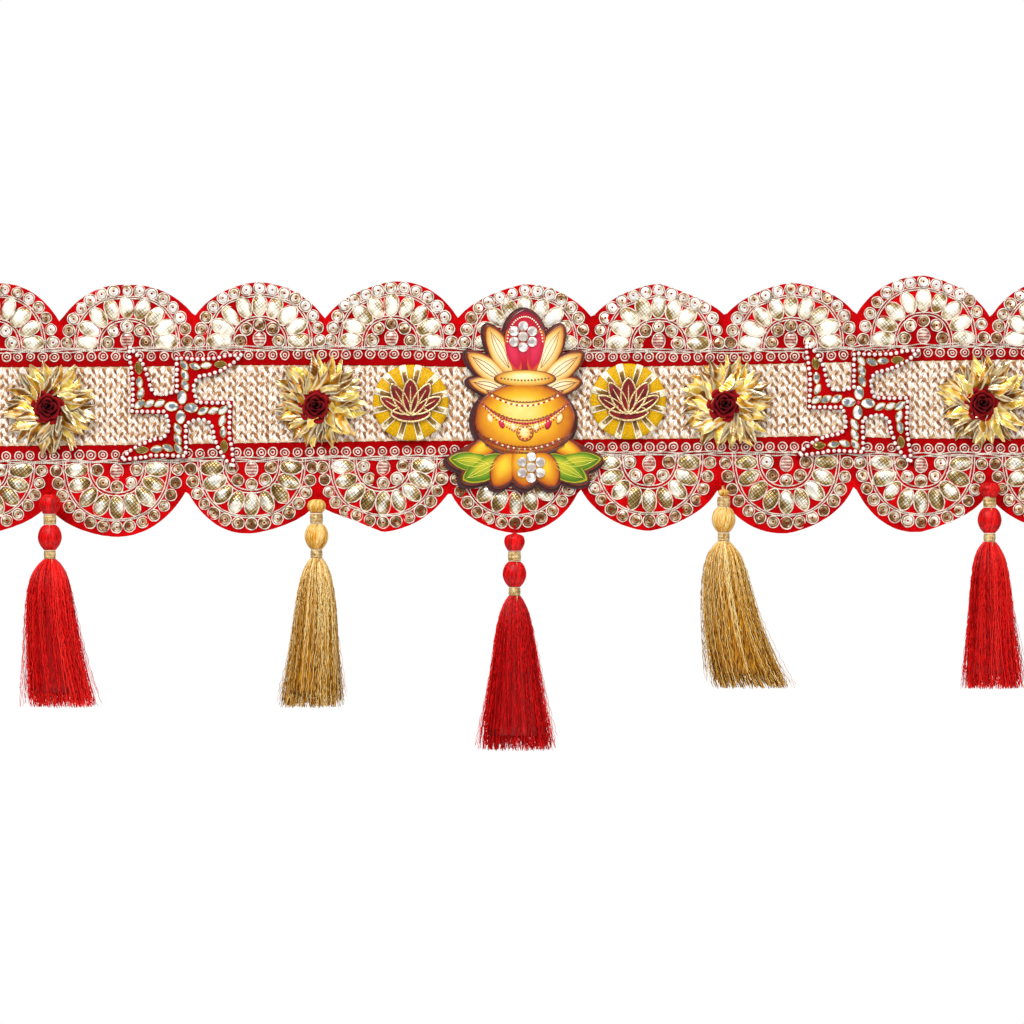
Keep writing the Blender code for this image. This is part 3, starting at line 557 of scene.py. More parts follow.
def build_finishes():
    # Cotton velvet and felt: matt and deep, in 22 mm patches where the pile lies another way. The border velvet gets
    # painted shade next to the band and inside the inner arches. The pile is drawn at 0.9 mm, coarser than it is, so
    # that it shows.
    pile = (1100.0, 2.0)
    for name, deep, bright in (("red_velvet", "#860002", "#D0040A"), ("red_strip_cloth", "#A00004", "#C80208"),
                               ("red_felt", "#8E0002", "#B40006")):
        new_finish(name, [(0.38, deep), (0.58, bright)], [(0.5, (45.0, 3.0)), (0.5, pile)],
                   over=[(0.85, "hem", "#960004")], bump=(0.0006, 0.6, (1.0, pile)), Roughness=0.9,
                   Specular_IOR_Level=0.05)
    # Rose velvet: painted shade makes it nearly black where the petals close in, and painted light makes it brighter at
    # their lips. Its pile is drawn at 1.4 mm.
    pile = (700.0, 2.0)
    new_finish("rose_velvet", [(0.15, "#100002"), (0.6, "#520208"), (1.0, "#96040E")], [(1.0, "depth"), (0.25, pile)],
               bump=(0.0005, 0.5, (1.0, pile)), Roughness=0.85, Specular_IOR_Level=0.15)
    # Couched two-ply cotton cord: the twist shows as slanting painted light and shade, one turn every 1.8 mm, and the
    # cord is darker and lighter in patches every 4 mm.
    twist = ("SINE", 0.0, (FULL_TURN / 0.0018, "along"), (2 * FULL_TURN, "round"))
    new_finish("beige_couched_cord", [(0.30, "#8E7460"), (0.54, "#F4E8DA")], [(0.16, twist), (1.0, (240.0, 2.0))],
               bump=(0.0002, 0.6, (1.0, twist)), Roughness=0.5)
    # Gota foil: thin metal ribbon, dented every 10 mm, with painted shade and shine that follow the dents, painted
    # light on its crown and painted shade round its rim. One copy is painted as lit, one as shaded. The diamond grid
    # pressed in it is drawn at 2.3 mm, coarser than it is, with painted shade in its grooves, and reach is how much of
    # it shows.
    dents, cos, sin = (105.0, 1.0), math.cos(math.radians(38)), math.sin(math.radians(38))
    across, along = [("ABSOLUTE", 0.0, (1.0, ("SINE", 0.0, (x * math.pi / 0.0023, "X"), (z * math.pi / 0.0023, "Z"))))
                     for x, z in ((cos, sin), (-sin, cos))]
    pressed = ("MINIMUM", along, (1.0, across))
    for name, line, shade, body, shine, metallic, roughness, reach in (
        ("pale_gota_foil", "#3E2A08", "#A07C34", "#F4E8CC", "#FFFDF4", 0.3, 0.3, 2.35),
        ("aged_gota_foil", "#1C1002", "#7E5C22", "#C8A868", "#FFFAEA", 0.55, 0.26, 2.9),
    ):
        shown = ("MAXIMUM", 0.10, (1.0, ("ADD", reach, (-4.0, dents))))
        grid = ("MULTIPLY", shown, (1.0, ("ADD", 1.25, (-2.3, pressed))))
        new_finish(name, [(0.42, shade), (0.58, body), (0.75, shine)], [(1.0, dents), (0.3, "rise")],
                   over=[(1.0, grid, line), (1.0, ("ADD", 0.95, (-7.0, "rise")), shade)],
                   bump=(0.0020, 0.8, (1.0, dents), (0.10, pressed)), Metallic=metallic, Roughness=roughness)
    # Pressed metal sequins: painted nearly white where they are taken to face the light and tan and brown where they
    # are not, with painted glints every 5 mm and painted light on their raised rings.
    painted_glint = (210.0, 1.0)
    new_finish("pressed_metal_sequin", [(0.12, "#FFFEFA"), (0.42, "#E4D4BA"), (0.70, "#B89468"), (1.0, "#6E4A24")],
               [(1.0, "tone"), (2.4, painted_glint), (-0.34, "rise")], -1.03, bump=(0.0008, 0.5, (1.0, painted_glint)), Metallic=0.5,
               Roughness=0.34)
    # Glass coil over red: pale bands across every 2.6 mm, smeared over 4.5 mm, with the red showing between.
    new_finish("pink_glass_coil", [(0.3, "#84302E"), (0.5, "#B27C6C"), (0.72, "#E9D6C6")],
               [(1.0, (220.0, 2.0)), (0.16, ("SINE", 0.0, (FULL_TURN / 0.0026, "Z")))], Roughness=0.25,
               Coat_Weight=0.5)
    # Mercerised cream braid: painted light on the stitches' crowns, painted shade on their tan flanks and in the
    # grooves between their strands, and fibres drawn at 2.3 mm so that they show.
    fibre, strands = (430.0, 3.0), ("COSINE", 0.0, (3 * math.pi, "lane"))
    new_finish("cream_braid_yarn", [(0.38, "#B4845A"), (0.50, "#E6D2BA"), (0.64, "#FCF8F2")],
               [(1.0, fibre), (0.22, "rise"), (0.11, strands)], bump=(0.0005, 0.7, (1.0, fibre), (0.5, strands)),
               Roughness=0.55)
    # Gold lurex ribbon: bright and finely ribbed, with soft creases 9 mm apart painted in shade and light, and a pale
    # woven edge. The same pale colour along each fold's ridge is a painted highlight.
    crease = (110.0, 1.0)
    new_finish("gold_foil_ribbon", [(0.36, "#7A4400"), (0.48, "#D09018"), (0.64, "#FFDC68")],
               [(0.7, crease), (0.3, "tone")], over=[(0.85, "rim", "#FFF6D0")],
               bump=(0.0020, 0.7, (1.0, crease), (0.05, "ribs")), Metallic=0.65, Roughness=0.30)
    # Foil-backed cut glass: grey facets with painted white highlights, in patches of 5 mm. Some of the long ones are
    # gold.
    for name, dark, gold in (("foil_backed_stone", "#848E92", "#7E6418"), ("clear_round_stone", "#C8BCB8", "#D8CCC4")):
        new_finish(name, [(0.42, dark), (0.50, "#FFFFFF")], [(1.0, (190.0, 0.0))],
                   over=[(1.0, ("GREATER_THAN", 0.5, (1.0, "tone")), gold)], Metallic=0.35, Roughness=0.10,
                   Coat_Weight=0.6)
    # Metal thread and wound silk, with fine fibres along them, drawn at 1.1 mm so that they show.
    fibre = (900.0, 2.0)
    for name, dark, light, metallic, gloss in (
        ("gold_setting", "#8C6C22", "#DCC07A", 0.8, 0.5), ("yellow_wound_silk", "#B88400", "#E0B000", 0.0, 0.15),
        ("gold_relief", "#B08A3C", "#FFECB8", 0.6, 0.5),
    ):
        new_finish(name, [(0.35, dark), (0.6, light)], [(1.0, fibre)], bump=(0.0002, 0.5, (1.0, fibre)),
                   Metallic=metallic, Roughness=0.42, Specular_IOR_Level=gloss)
    # Strips over the winding: silvery gold ribbon with a pale woven edge on each side, its grain drawn at 2.4 mm.
    grain = (420.0, 2.0)
    new_finish("edged_strip", [(0.46, "#4A2C06"), (0.86, "#9A7230"), (1.0, "#FFF2D0")], [(0.8, "out"), (0.5, grain)],
               over=[(1.0, ("GREATER_THAN", 0.72, (1.0, "across")), "#FFF6E0")], bump=(0.0005, 0.6, (1.0, grain)),
               Metallic=0.45, Roughness=0.32)
    # Tight winding of gold thread: a painted highlight on each crown and painted shade in each gap, every 1.2 mm,
    # broken by fibres of 3 mm.
    fibre = (330.0, 2.0)
    wound = ((0.25, ("SINE", 0.0, (FULL_TURN / 0.0012, "Z"), (1.0, fibre))), (1.0, fibre))
    new_finish("gold_wrap_thread", [(0.28, "#70420A"), (0.5, "#BE8C30"), (0.74, "#FAE8B0")], wound,
               bump=(0.0003, 0.6, *wound), Metallic=0.25, Roughness=0.4)
    # Rayon floss: a little glossy, each thread a shade of its own, with streaks 1 mm wide and 9 mm long. fade darkens
    # it from the waist to the foot, 125 mm below.
    streak = ((950.0, 950.0, 110.0), 3.0)
    for name, dark, middle, light, fade in (("red_floss", "#8C0002", "#E80206", "#FF3028", 0.0),
                                            ("gold_floss", "#5E2E00", "#D49420", "#FFEAA8", 0.18)):
        new_finish(name, [(0.30, dark), (0.48, middle), (0.78, light)],
                   [(0.5, "tone"), (0.6, streak), (-fade / 0.125, "along")], fade / 2,
                   bump=(0.0003, 0.5, (1.0, streak)), Roughness=0.42, Specular_IOR_Level=0.20)
    # Plain coloured finishes, with faint clouds of 4 mm: yarn is matt, foil shines a little, pearl and glass beads are
    # smooth and bright, moulded resin and printed card are glossy, and the painted board is duller.
    cloud = (260.0, 3.0)
    for name, dark, light, sockets in (
        # The braid's brown marks are painted shade in the gaps between its stitches.
        ("brown_braid_fleck", "#6A300C", "#B47A44", {"Roughness": 0.7}),
        ("tan_braid_ground", "#A87848", "#E0C8A8", {"Roughness": 0.8}),
        ("gold_foil_shade", "#6E3E04", "#BC8420", {"Metallic": 0.4, "Roughness": 0.45}),
        ("white_pearl", "#CFC6C0", "#F6F2EE", {"Roughness": 0.2, "Coat_Weight": 0.6}),
        ("red_glass_bead", "#9C0010", "#E00A20", {"Roughness": 0.2, "Coat_Weight": 0.5}),
        ("maroon_resin", "#520006", "#860810", {"Roughness": 0.35, "Coat_Weight": 0.4}),
        ("maroon_board", "#2A0A10", "#451018", {"Roughness": 0.5}),
        ("print_ground", "#5A1A10", "#7A2A14", {"Roughness": 0.35, "Coat_Weight": 0.4}),
    ):
        new_finish(name, [(0.35, dark), (0.6, light)], [(1.0, cloud)], bump=(0.0003, 0.3, (1.0, cloud)), **sockets)
    # Glossy printed card: a dark line round each shape, then its colours towards the lit middle, grained every 6 mm.
    for name, stops in (
        ("leaf_green", [(0.08, "#3A2606"), (0.17, "#C8B414"), (0.3, "#3E6A0C"), (0.6, "#6E9418"), (0.95, "#C0BC2E")]),
        ("leaf_cream", [(0.08, "#5A2006"), (0.2, "#C06C14"), (0.5, "#E8BE68"), (0.9, "#FAE8BC")]),
        ("bud_red", [(0.06, "#34040C"), (0.2, "#8E0828"), (0.6, "#BE0C30"), (0.95, "#E03056")]),
        ("bud_side", [(0.05, "#4E0610"), (0.25, "#D86014"), (0.5, "#B80C34"), (0.95, "#D82C4E")]),
        ("petal_orange", [(0.08, "#541404"), (0.22, "#B04C0A"), (0.6, "#D88C10"), (0.95, "#F6C62E")]),
        ("pot_yellow", [(0.05, "#4A1404"), (0.12, "#A2440A"), (0.42, "#D4860E"), (0.72, "#EEB824"), (1.0, "#FAE088")]),
        ("rim_cream", [(0.08, "#5E1E06"), (0.26, "#CC8014"), (0.7, "#F2CC6C"), (1.0, "#FDEEC0")]),
    ):
        new_finish(name, stops, [(1.0, "inward"), (0.16, (160.0, 2.0))], -0.08, Roughness=0.32, Coat_Weight=0.4,
                   Coat_Roughness=0.08)
    # Printed ink in three flat colours, picked by tone.
    for name, low, middle, high in (("print_dots", "#B00A16", "#FFF0C4", "#3E7A1C"),
                                    ("print_lines", "#8E3A0A", "#F6E08A", "#E8DC48")):
        new_finish(name, [(0.0, low), (0.3, middle), (0.7, high)], [(1.0, "tone")], blend="CONSTANT", Roughness=0.35,
                   Coat_Weight=0.3)


# The cloth, as sewn.

def across_hanging(columns):
    return [-END + 2 * END * i / columns for i in range(columns + 1)]


def line_z(x, column):
    """Height of one of the band's lines at x."""
    for before, after in zip(LINES, LINES[1:]):
        if x <= after[0]:
            share = max(0.0, (x - before[0]) / (after[0] - before[0]))
            return before[column] + share * (after[column] - before[column])
    return LINES[-1][column]


def edge_at(border, x):
    """Height and forward curl of a border's scalloped edge at x."""
    notches = border["notches"]
    for (left, left_z), (right, right_z), row in zip(notches, notches[1:], border["scallops"]):
        if x <= right or right == notches[-1][0]:
            tip_z, curl, *flanks = row
            half, rise = (right - left) / 2, abs(tip_z - (left_z + right_z) / 2)
            radius = (half * half + rise * rise) / (2 * rise)
            share = between((x - left) / (right - left))
            arch = math.sqrt(radius**2 - (half * (2 * share - 1)) ** 2) - (radius - rise)
            bulge = arch + flanks[share >= 0.5] * abs(math.sin(FULL_TURN * share))
            return left_z + (right_z - left_z) * share + border["way"] * bulge, curl * arch / rise


def border_y(border, x, z):
    """Y of a border's front face, which stands up to 0.5 mm forward where the stitches pucker it."""
    cord_z = line_z(x, border["cord"])
    edge_z, curl = edge_at(border, x)
    share = between((z - cord_z) / (edge_z - cord_z))
    pucker = 0.0005 * (0.5 + 0.5 * uneven(x * 60, 3.7, z * 60))
    return BORDER_FRONT - curl * share - pucker * (0.3 + 0.7 * share)


def scallop_frames(border):
    """Middle x and height scale of each scallop."""
    for (left, _), (right, _), row in zip(border["notches"], border["notches"][1:], border["scallops"]):
        centre = (left + right) / 2
        yield centre, abs(row[0] - line_z(centre, border["cord"])) * 1000 / border["nominal"]


def in_inner_arch(border, x, z):
    """Whether a place is inside a scallop's inner arch, where the velvet gets painted shade."""
    half, height = border["arcs"][0]
    across = min(abs(x - centre) for centre, _ in scallop_frames(border)) * 1000
    return (across / half) ** 2 + (abs(z - line_z(x, border["cord"])) * 1000 / height) ** 2 < 1


def border_cloth(side, border):
    """The velvet of a border, as a closed sheet that follows the sway, the scallops and their curl."""
    columns, last = 360, 10
    front, hem = [], []
    for x in across_hanging(columns):
        cord_z, edge_z = line_z(x, border["cord"]), edge_at(border, x)[0]
        inner_z = line_z(x, border["band"]) + border["way"] * 0.0004
        heights = [inner_z, 0.5 * (inner_z + cord_z)] + [cord_z + (edge_z - cord_z) * row / 8 for row in range(9)]
        for row, z in enumerate(heights):
            ragged = 0.0003 * uneven(x * 900, 1.1, 0) if row == last else 0.0
            front.append((x, border_y(border, x, z), z + ragged))
            # Painted shade: full between the band and the cord line and on the back, less at the cord line, and inside
            # the inner arches as much as pressed says.
            hem.append((1.0, 1.0, 0.6)[row] if row < 3 else border["pressed"] * in_inner_arch(border, x, z))
    shape = thick_sheet(front, columns + 1, last + 1, BORDER_THICKNESS, hem=hem + [1.0] * len(hem))
    return add_body(f"{side}_border_velvet", shape, "red_velvet", 50)


def even_cloth(name, columns, rows, low, high, spill, front, thickness, finish):
    """A flat cloth between two of the band's lines, which it passes by spill."""
    points = []
    for x in across_hanging(columns):
        bottom, top = line_z(x, low) - spill, line_z(x, high) + spill
        points += [(x, front, bottom + (top - bottom) * j / (rows - 1)) for j in range(rows)]
    return add_body(name, thick_sheet(points, columns + 1, rows, thickness), finish, 50)


def flat_area(outline):
    """Area inside a closed outline of (x, z)."""
    return abs(sum(x1 * z2 - x2 * z1 for (x1, z1), (x2, z2) in zip(outline, outline[1:] + outline[:1]))) / 2


# Embroidery on the borders.

def sewn_place(border, frame, across_mm, height_mm, lift, margin=EDGE_MARGIN):
    """A point on the border's front, given in millimetres from the middle of a scallop's cord line."""
    centre, scale = frame
    x = centre + across_mm / 1000
    z = line_z(x, border["cord"]) + border["way"] * height_mm / 1000 * scale
    limit = edge_at(border, x)[0] - border["way"] * margin
    if border["way"] * (z - limit) > 0:
        z = limit
    return Vector((x, border_y(border, x, z) - lift, z))


def rounded(angle, power):
    """A point on a superellipse of unit size: across and up."""
    across, up = math.cos(angle), math.sin(angle)
    return math.copysign(abs(across) ** (2 / power), across), abs(up) ** (2 / power)


def even_points(curve, count):
    """Points spaced evenly along a densely sampled curve of (across, up)."""
    lengths = [0.0]
    for (x1, z1), (x2, z2) in zip(curve, curve[1:]):
        lengths.append(lengths[-1] + math.hypot(x2 - x1, z2 - z1))
    wanted = [lengths[-1] * i / (count - 1) - 1e-9 for i in range(count)]
    return [curve[next(k for k, length in enumerate(lengths) if length >= reach)] for reach in wanted]


def embroider(border, chance):
    """Places for everything sewn on one border."""
    way = border["way"]
    cords, petals, sequins, ovals, rings = [], [], [], [], []
    for frame in scallop_frames(border):
        centre = frame[0]
        for place, (half, height) in enumerate(border["arcs"]):
            outer, number = divmod(place, 2)
            steps = ARC_STEPS[outer]
            margin = (ARC_MARGIN if outer else EDGE_MARGIN) - 0.0018 * number
            path = []
            for step in range(steps + 1):
                across, up = rounded(math.pi * step / steps, ARC_POWER)
                drift = ARC_DRIFT_MM * uneven(centre * 40, step * 0.45, number * 3.1)
                if abs(centre + across * half / 1000) < END - 0.002:
                    path.append(sewn_place(border, frame, across * (half + drift), up * (height + drift),
                                           CORD_RADIUS * 0.8, margin))
            cords.append((path, CORD_RADIUS, chance.random(), False))
        half, base, height = border["petals"]
        for number in range(PETAL_COUNT):
            angle = math.pi * number / (PETAL_COUNT - 1)
            spot = sewn_place(border, frame, half * math.cos(angle), base + height * math.sin(angle), 0.0002,
                              PETAL_MARGIN)
            turn = way * (angle + chance.uniform(-0.09, 0.09))
            petals.append((spot, facing(turn, chance), chance.uniform(0.94, 1.06), chance.random()))
        half, height, start = border["sequins"]
        curve = [(half * a, height * u) for a, u in (rounded(math.pi * i / 400, SEQUIN_POWER) for i in range(401))]
        first = next(i for i, (_, up) in enumerate(curve) if up >= start)
        for number, (across, up) in enumerate(even_points(curve[first:401 - first], SEQUIN_COUNT)):
            spot = sewn_place(border, frame, across + chance.uniform(-0.3, 0.3), up, 0.0003)
            spot.x = centre + across / 1000
            if abs(spot.x) <= END - SEQUIN_ROOM:
                flank = abs(number - 7) / 7
                # Painted light: tone is how brightly each sequin is taken to be lit, darker on the upper scallops'
                # flanks and all over the lower border.
                tone = between((0.22 + 0.45 * flank**2 if way > 0 else 0.75) + chance.uniform(-0.25, 0.30))
                sequins.append((spot, facing(chance.uniform(0, 6), chance, 0.16), chance.uniform(0.93, 1.07), tone))
        for across, up in border["inner_sequins"]:
            sequins.append((sewn_place(border, frame, across, up, 0.0003), facing(chance.uniform(0, 6), chance, 0.16),
                            chance.uniform(1.0, 1.1), chance.uniform(0.35, 0.95)))
        ovals.append((sewn_place(border, frame, 0.0, border["oval"], 0.0002), facing(0, chance), 1.0, chance.random()))
    for lane in CORD_LANES:
        path = []
        for step in range(LANE_STEPS + 1):
            x = -END + 0.001 + (2 * END - 0.002) * step / LANE_STEPS
            z = line_z(x, border["cord"]) + lane + 0.0022 * uneven(x * 55, lane * 900, 0.3)
            lift = CORD_RADIUS * (0.9 + 0.7 * uneven(x * 40, lane * 700, 5))
            path.append(Vector((x, border_y(border, x, z) - lift, z)))
        cords.append((path, CORD_RADIUS, chance.random(), False))
    for number in range(int(2 * END / RING_PITCH) - 1):
        x = -END + RING_PITCH * (number + 0.6)
        z = line_z(x, border["cord"]) - way * (RING_OFFSET + chance.uniform(-0.0003, 0.0003))
        spot = Vector((x + chance.uniform(-0.0004, 0.0004), border_y(border, x, z) - CORD_RADIUS * 0.8, z))
        rings.append((spot, facing(chance.uniform(0, 6), chance, 0.05), chance.uniform(0.93, 1.05), chance.random()))
    return cords, petals, sequins, ovals, rings


def sequin_shape():
    """A cupped sequin with a hole in its middle. "rise" is high on its raised rings, which are painted brighter, as
    lit, and low in its hollows.
    """
    rows = [(0.0009, 0.0, 0.5), (0.0040, 0.0, 0.0), (0.0042, -0.00025, 0.1), (0.0034, -0.00060, 0.9),
            (0.0021, -0.00030, 0.2), (0.0013, -0.00065, 1.0), (0.0009, -0.0004, 0.3)]
    points, faces = lofted([[(x, y, z) for x, z in circle(radius, 16)] for radius, y, _ in rows])
    last = (len(rows) - 1) * 16
    faces[-2:] = [(last + i, last + (i + 1) % 16, (i + 1) % 16, i) for i in range(16)]
    return points, faces, {"rise": [rise for _, _, rise in rows for _ in range(16)]}


def build_borders():
    base = even_cloth("base_strip_cloth", 200, 5, LOWER_CORD, UPPER_CORD, 0.006, -0.0015, 0.0015, "red_strip_cloth")
    hand_over(base, "red_cloth", "base_strip")
    thin = CORD_RADIUS * 0.9
    for side, border in BORDERS.items():
        cloth = border_cloth(side, border)
        hand_over(cloth, "red_cloth", f"{side}_border")
        cords, petals, sequins, ovals, rings = embroider(border, random.Random(border["seed"]))
        hand_over(run_cords(f"{side}_couched_cords", cords, "beige_couched_cord"), "gold_thread")
        for name, shape, places, finish, slot, crinkle in (
            # The upper border's petals take the brightly lit copy of the foil and the lower border's the shaded copy,
            # as painted light and shade.
            ("foil_petals", domed(oval(0.0101, 0.0060, 20, 0.22), 0.0021, power=1.7), petals,
             "pale_gota_foil" if side == "upper" else "aged_gota_foil", "gold_foil", 0.0009),
            ("petal_cords", tube_loop(oval(0.0102, 0.0063, 22, 0.22), CORD_RADIUS, 4, -0.0003, 0.0003), petals,
             "beige_couched_cord", "gold_thread", 0.0010),
            ("sequins", sequin_shape(), sequins, "pressed_metal_sequin", "gold_foil", 0.0),
            ("sequin_cords", tube_loop(circle(0.0050, 16), thin, 4, -0.0003, 0.0003), sequins,
             "beige_couched_cord", "gold_thread", 0.0014),
            ("coils", domed(oval(0.0048, 0.0058, 18), 0.0016), ovals, "pink_glass_coil", "clear_stone", 0.0),
            ("coil_cords", tube_loop(oval(0.0054, 0.0065, 18), thin, 4, -0.0003, 0.0002), ovals,
             "beige_couched_cord", "gold_thread", 0.0010),
            ("small_rings", joined([tube_loop(circle(0.0037, 14), CORD_RADIUS, 4, 0.0, 0.0003),
                                    tube_loop(circle(0.0015, 10), thin, 4, 0.0, 0.0002)]), rings,
             "beige_couched_cord", "gold_thread", 0.0014),
        ):
            piece = repeat_shape(f"{side}_{name}", shape, places, finish, crinkle, 0.005)
            hand_over(keep_in_front(piece, lambda x, z: border_y(border, x, z) + 0.0004), slot)


def build_band():
    """A ribbon behind, plump stitches that lean left and right by turns, and brown marks between the stitches as
    painted shade.
    """
    chance = random.Random(13)
    cell_x, cell_z = 0.0046, 0.0084
    places, flecks = [], []
    for i in range(int(2 * END / cell_x)):
        x, odd = -END + cell_x * (i + 0.5), i % 2
        top, bottom = line_z(x, BAND_TOP), line_z(x, BAND_BOTTOM)
        rows = round((top - bottom) / cell_z)
        for j in range(rows):
            z = bottom + (top - bottom) * (j + 0.5) / rows + (0.0012 if odd else -0.0012)
            z = between(z + chance.uniform(-0.0003, 0.0003), bottom + 0.0040, top - 0.0040)
            spot = Vector((x + chance.uniform(-0.0002, 0.0002), BORDER_FRONT, z))
            turn = facing(math.radians(64 if odd else 114) + chance.uniform(-0.10, 0.10), chance, 0.06)
            places.append((spot, turn, chance.uniform(0.93, 1.05), chance.random()))
            fleck_x = x + cell_x * 0.5 + chance.uniform(-0.0004, 0.0004)
            fleck_z = z + (0.0030 if odd else 0.0010)
            if fleck_x < END - 0.001 and bottom + 0.003 < fleck_z < top - 0.003:
                size = chance.uniform(0.85, 1.35) * (0.78 if odd else 0.94)
                lean = math.radians((-124 if odd else -64) + chance.uniform(-16, 16))
                flecks.append((Vector((fleck_x, BORDER_BACK - 0.0020, fleck_z)), facing(lean, chance, 0.1), size,
                               chance.random()))
    # The ribbon is tan where it shows between the stitches, as painted shade.
    ribbon = even_cloth("braid_ribbon", 340, 6, BAND_BOTTOM, BAND_TOP, 0.0, BORDER_FRONT, BORDER_THICKNESS,
                        "tan_braid_ground")
    # A stitch is a plump leaf, pointed at both ends, 11.6 mm long. "lane" runs across its strands from -1 to 1.
    stitch = domed(oval(0.0058, 0.0027, 14, 0.40), 0.0010, 0.0004, shares=(1.0, 0.85, 0.5))
    stitch[2]["lane"] = [z / 0.0027 for _, _, z in stitch[0]]
    yarn = repeat_shape("braid_yarn", stitch, places, "cream_braid_yarn", 0.0004, 0.002)
    # Painted shade: a brown teardrop in each gap between the stitches.
    fleck = domed([(x, z * (1 - 240 * x) / 1.5) for x, z in oval(0.0032, 0.0015, 10)], 0.0009)
    marks = repeat_shape("braid_flecks", fleck, flecks, "brown_braid_fleck")
    hand_over(ribbon, "woven_braid", "woven_band")
    hand_over(yarn, "woven_braid")
    hand_over(marks, "woven_braid")


# Rosettes and roses.

def ribbon_point():
    """A ribbon folded to a slanted point along X, with a ridge off its middle. "rim" is 1 on its pale edges and along
    the ridge, where it is a painted highlight.
    """
    steps, across, length, width = 6, 6, 0.026, 0.0060
    front, rim = [], []
    for i in range(steps + 1):
        share = i / steps
        half = width * min(1.0, 0.7 + 0.6 * share, 2.3 * (1 - share) + 0.02)
        slant = 0.85 * (width - half) * (share > 0.5)
        for j in range(across + 1):
            t = 2 * j / across - 1
            ridge = max(0.0, 1 - abs(t - 0.33) / (0.67 if t > 0.33 else 1.33))
            fold = 0.0036 * ridge * (1 - 0.45 * share)
            front.append((length * share, -fold - 0.0020 * share * share, half * t + slant))
            # rim marks the pale woven edges, and a painted highlight along the ridge.
            rim.append(1.0 if abs(t) > 0.9 or abs(t - 0.33) < 0.05 else 0.0)
    return thick_sheet(front, steps + 1, across + 1, 0.0004, rim=rim + rim)


def rosette(number, x, z, rose_x, rose_z, chance):
    """Three tiers of ribbon points on a domed hub. The tiers drift from the rosette's middle to the rose's."""
    places = []
    for tier, (count, root, long, wide, y, swirl, rise) in enumerate(ROSETTE_TIERS):
        share = 1 - tier / 3
        middle_x, middle_z = rose_x + (x - rose_x) * share, rose_z + (z - rose_z) * share
        for i in range(count):
            angle = FULL_TURN * (i + chance.uniform(-0.2, 0.2)) / count + tier
            spot = Vector((middle_x + root * math.cos(angle), y + chance.uniform(-0.0012, 0.0012),
                           middle_z + root * math.sin(angle)))
            turn = (chance.uniform(-1.0, 0.8), -(angle - swirl + chance.uniform(-0.28, 0.28)),
                    -rise + chance.uniform(-0.14, 0.14))
            size = long * chance.uniform(0.76, 1.06)
            places.append((spot, turn, (size, size, wide * chance.uniform(0.8, 1.15)), chance.random()))
    points = repeat_shape(f"rosette_{number}_ribbon", ribbon_point(), places, "gold_foil_ribbon", 0.0030, 0.0055, 24)
    hand_over(keep_in_front(points, lambda px, pz: TRIM_BACK - 0.0002, 0.0014), "gold_foil", f"foil_rosette_{number}")
    hub = moved(domed(circle(0.029, 40), 0.0045, TRIM_BACK, power=1.2), rose_x, rose_z)
    hand_over(add_body(f"rosette_{number}_hub", hub, "gold_foil_shade", 40), "gold_foil")


def rose(number, x, z, chance):
    """A rose of rings of velvet petals, each a curved wall that leans out and rolls over at its lip."""
    parts = []
    for tier, (count, foot, lip, foot_y, lip_y, span) in enumerate(ROSE_TIERS):
        for i in range(count):
            middle = FULL_TURN * (i + 0.4 * tier) / count + chance.uniform(-0.15, 0.15)
            front, depth = [], []
            for t in (a / 4 - 1 for a in range(9)):
                angle = middle + 0.5 * span * t
                lean = 1 - 0.22 * t * t + chance.uniform(-0.02, 0.02)
                for share in (b / 5 for b in range(6)):
                    ruffle = 0.0009 * math.sin(4.2 * t + 2.1 * i + tier) * share**2
                    reach = foot + (lip - foot) * share**1.5 * lean + 0.0004 * t + ruffle
                    y = foot_y + (lip_y - foot_y) * (1 - (1 - min(1.0, share * 1.25)) ** 2) * lean
                    y += 0.0007 * (share > 0.85) - 0.6 * ruffle
                    front.append((x + reach * math.cos(angle), y, z + reach * math.sin(angle)))
                    # depth runs from a petal's foot to its lip and is lower in the inner tiers: painted shade deep in
                    # the rose, painted light at the lips.
                    depth.append(share * (1 - tier / 7))
            parts.append(thick_sheet(front, 9, 6, 0.00045, depth=depth + depth))
    # The base under the petals has no depth, so it is painted nearly black, as shade.
    base = moved(domed(circle(0.0118, 24), 0.0060, -0.0088, power=1.6), x, z)
    parts.append((*base, {"depth": [0.0] * len(base[0])}))
    hand_over(add_body(f"rose_{number}_petals", joined(parts), "rose_velvet"), "rose_cloth", f"cloth_rose_{number}")


# Felt motifs with pearls and stones.

def quarter(across, up, turns):
    cos, sin = [(1, 0), (0, 1), (-1, 0), (0, -1)][turns % 4]
    return across * cos - up * sin, across * sin + up * cos


def felt_motif(side, x, z):
    """Felt cut to four bent arms, its rim rounded off. Returns it and its area."""
    outline = []
    for turns in range(4):
        outline += [(x + across, z + up) for across, up in (quarter(*place, -turns) for place in FELT_ARM)]
    front_y = TRIM_BACK - 0.0012
    body = bmesh.new()
    face = body.faces.new([body.verts.new((px, TRIM_BACK, pz)) for px, pz in outline])
    for part in bmesh.ops.extrude_face_region(body, geom=[face])["geom"]:
        if isinstance(part, bmesh.types.BMVert):
            part.co.y = front_y
    bmesh.ops.recalc_face_normals(body, faces=body.faces)
    rim = [edge for edge in body.edges if all(abs(vert.co.y - front_y) < 1e-6 for vert in edge.verts)]
    bmesh.ops.bevel(body, geom=rim, offset=0.0005, segments=2, affect="EDGES")
    bmesh.ops.triangulate(body, faces=body.faces)
    mesh = bpy.data.meshes.new(f"felt_motif_{side}_felt")
    body.to_mesh(mesh)
    body.free()
    mesh.materials.append(FINISHES["red_felt"])
    mesh.shade_smooth()
    mesh.set_sharp_from_angle(angle=math.radians(40))
    return add_object(mesh.name, mesh), flat_area(outline)


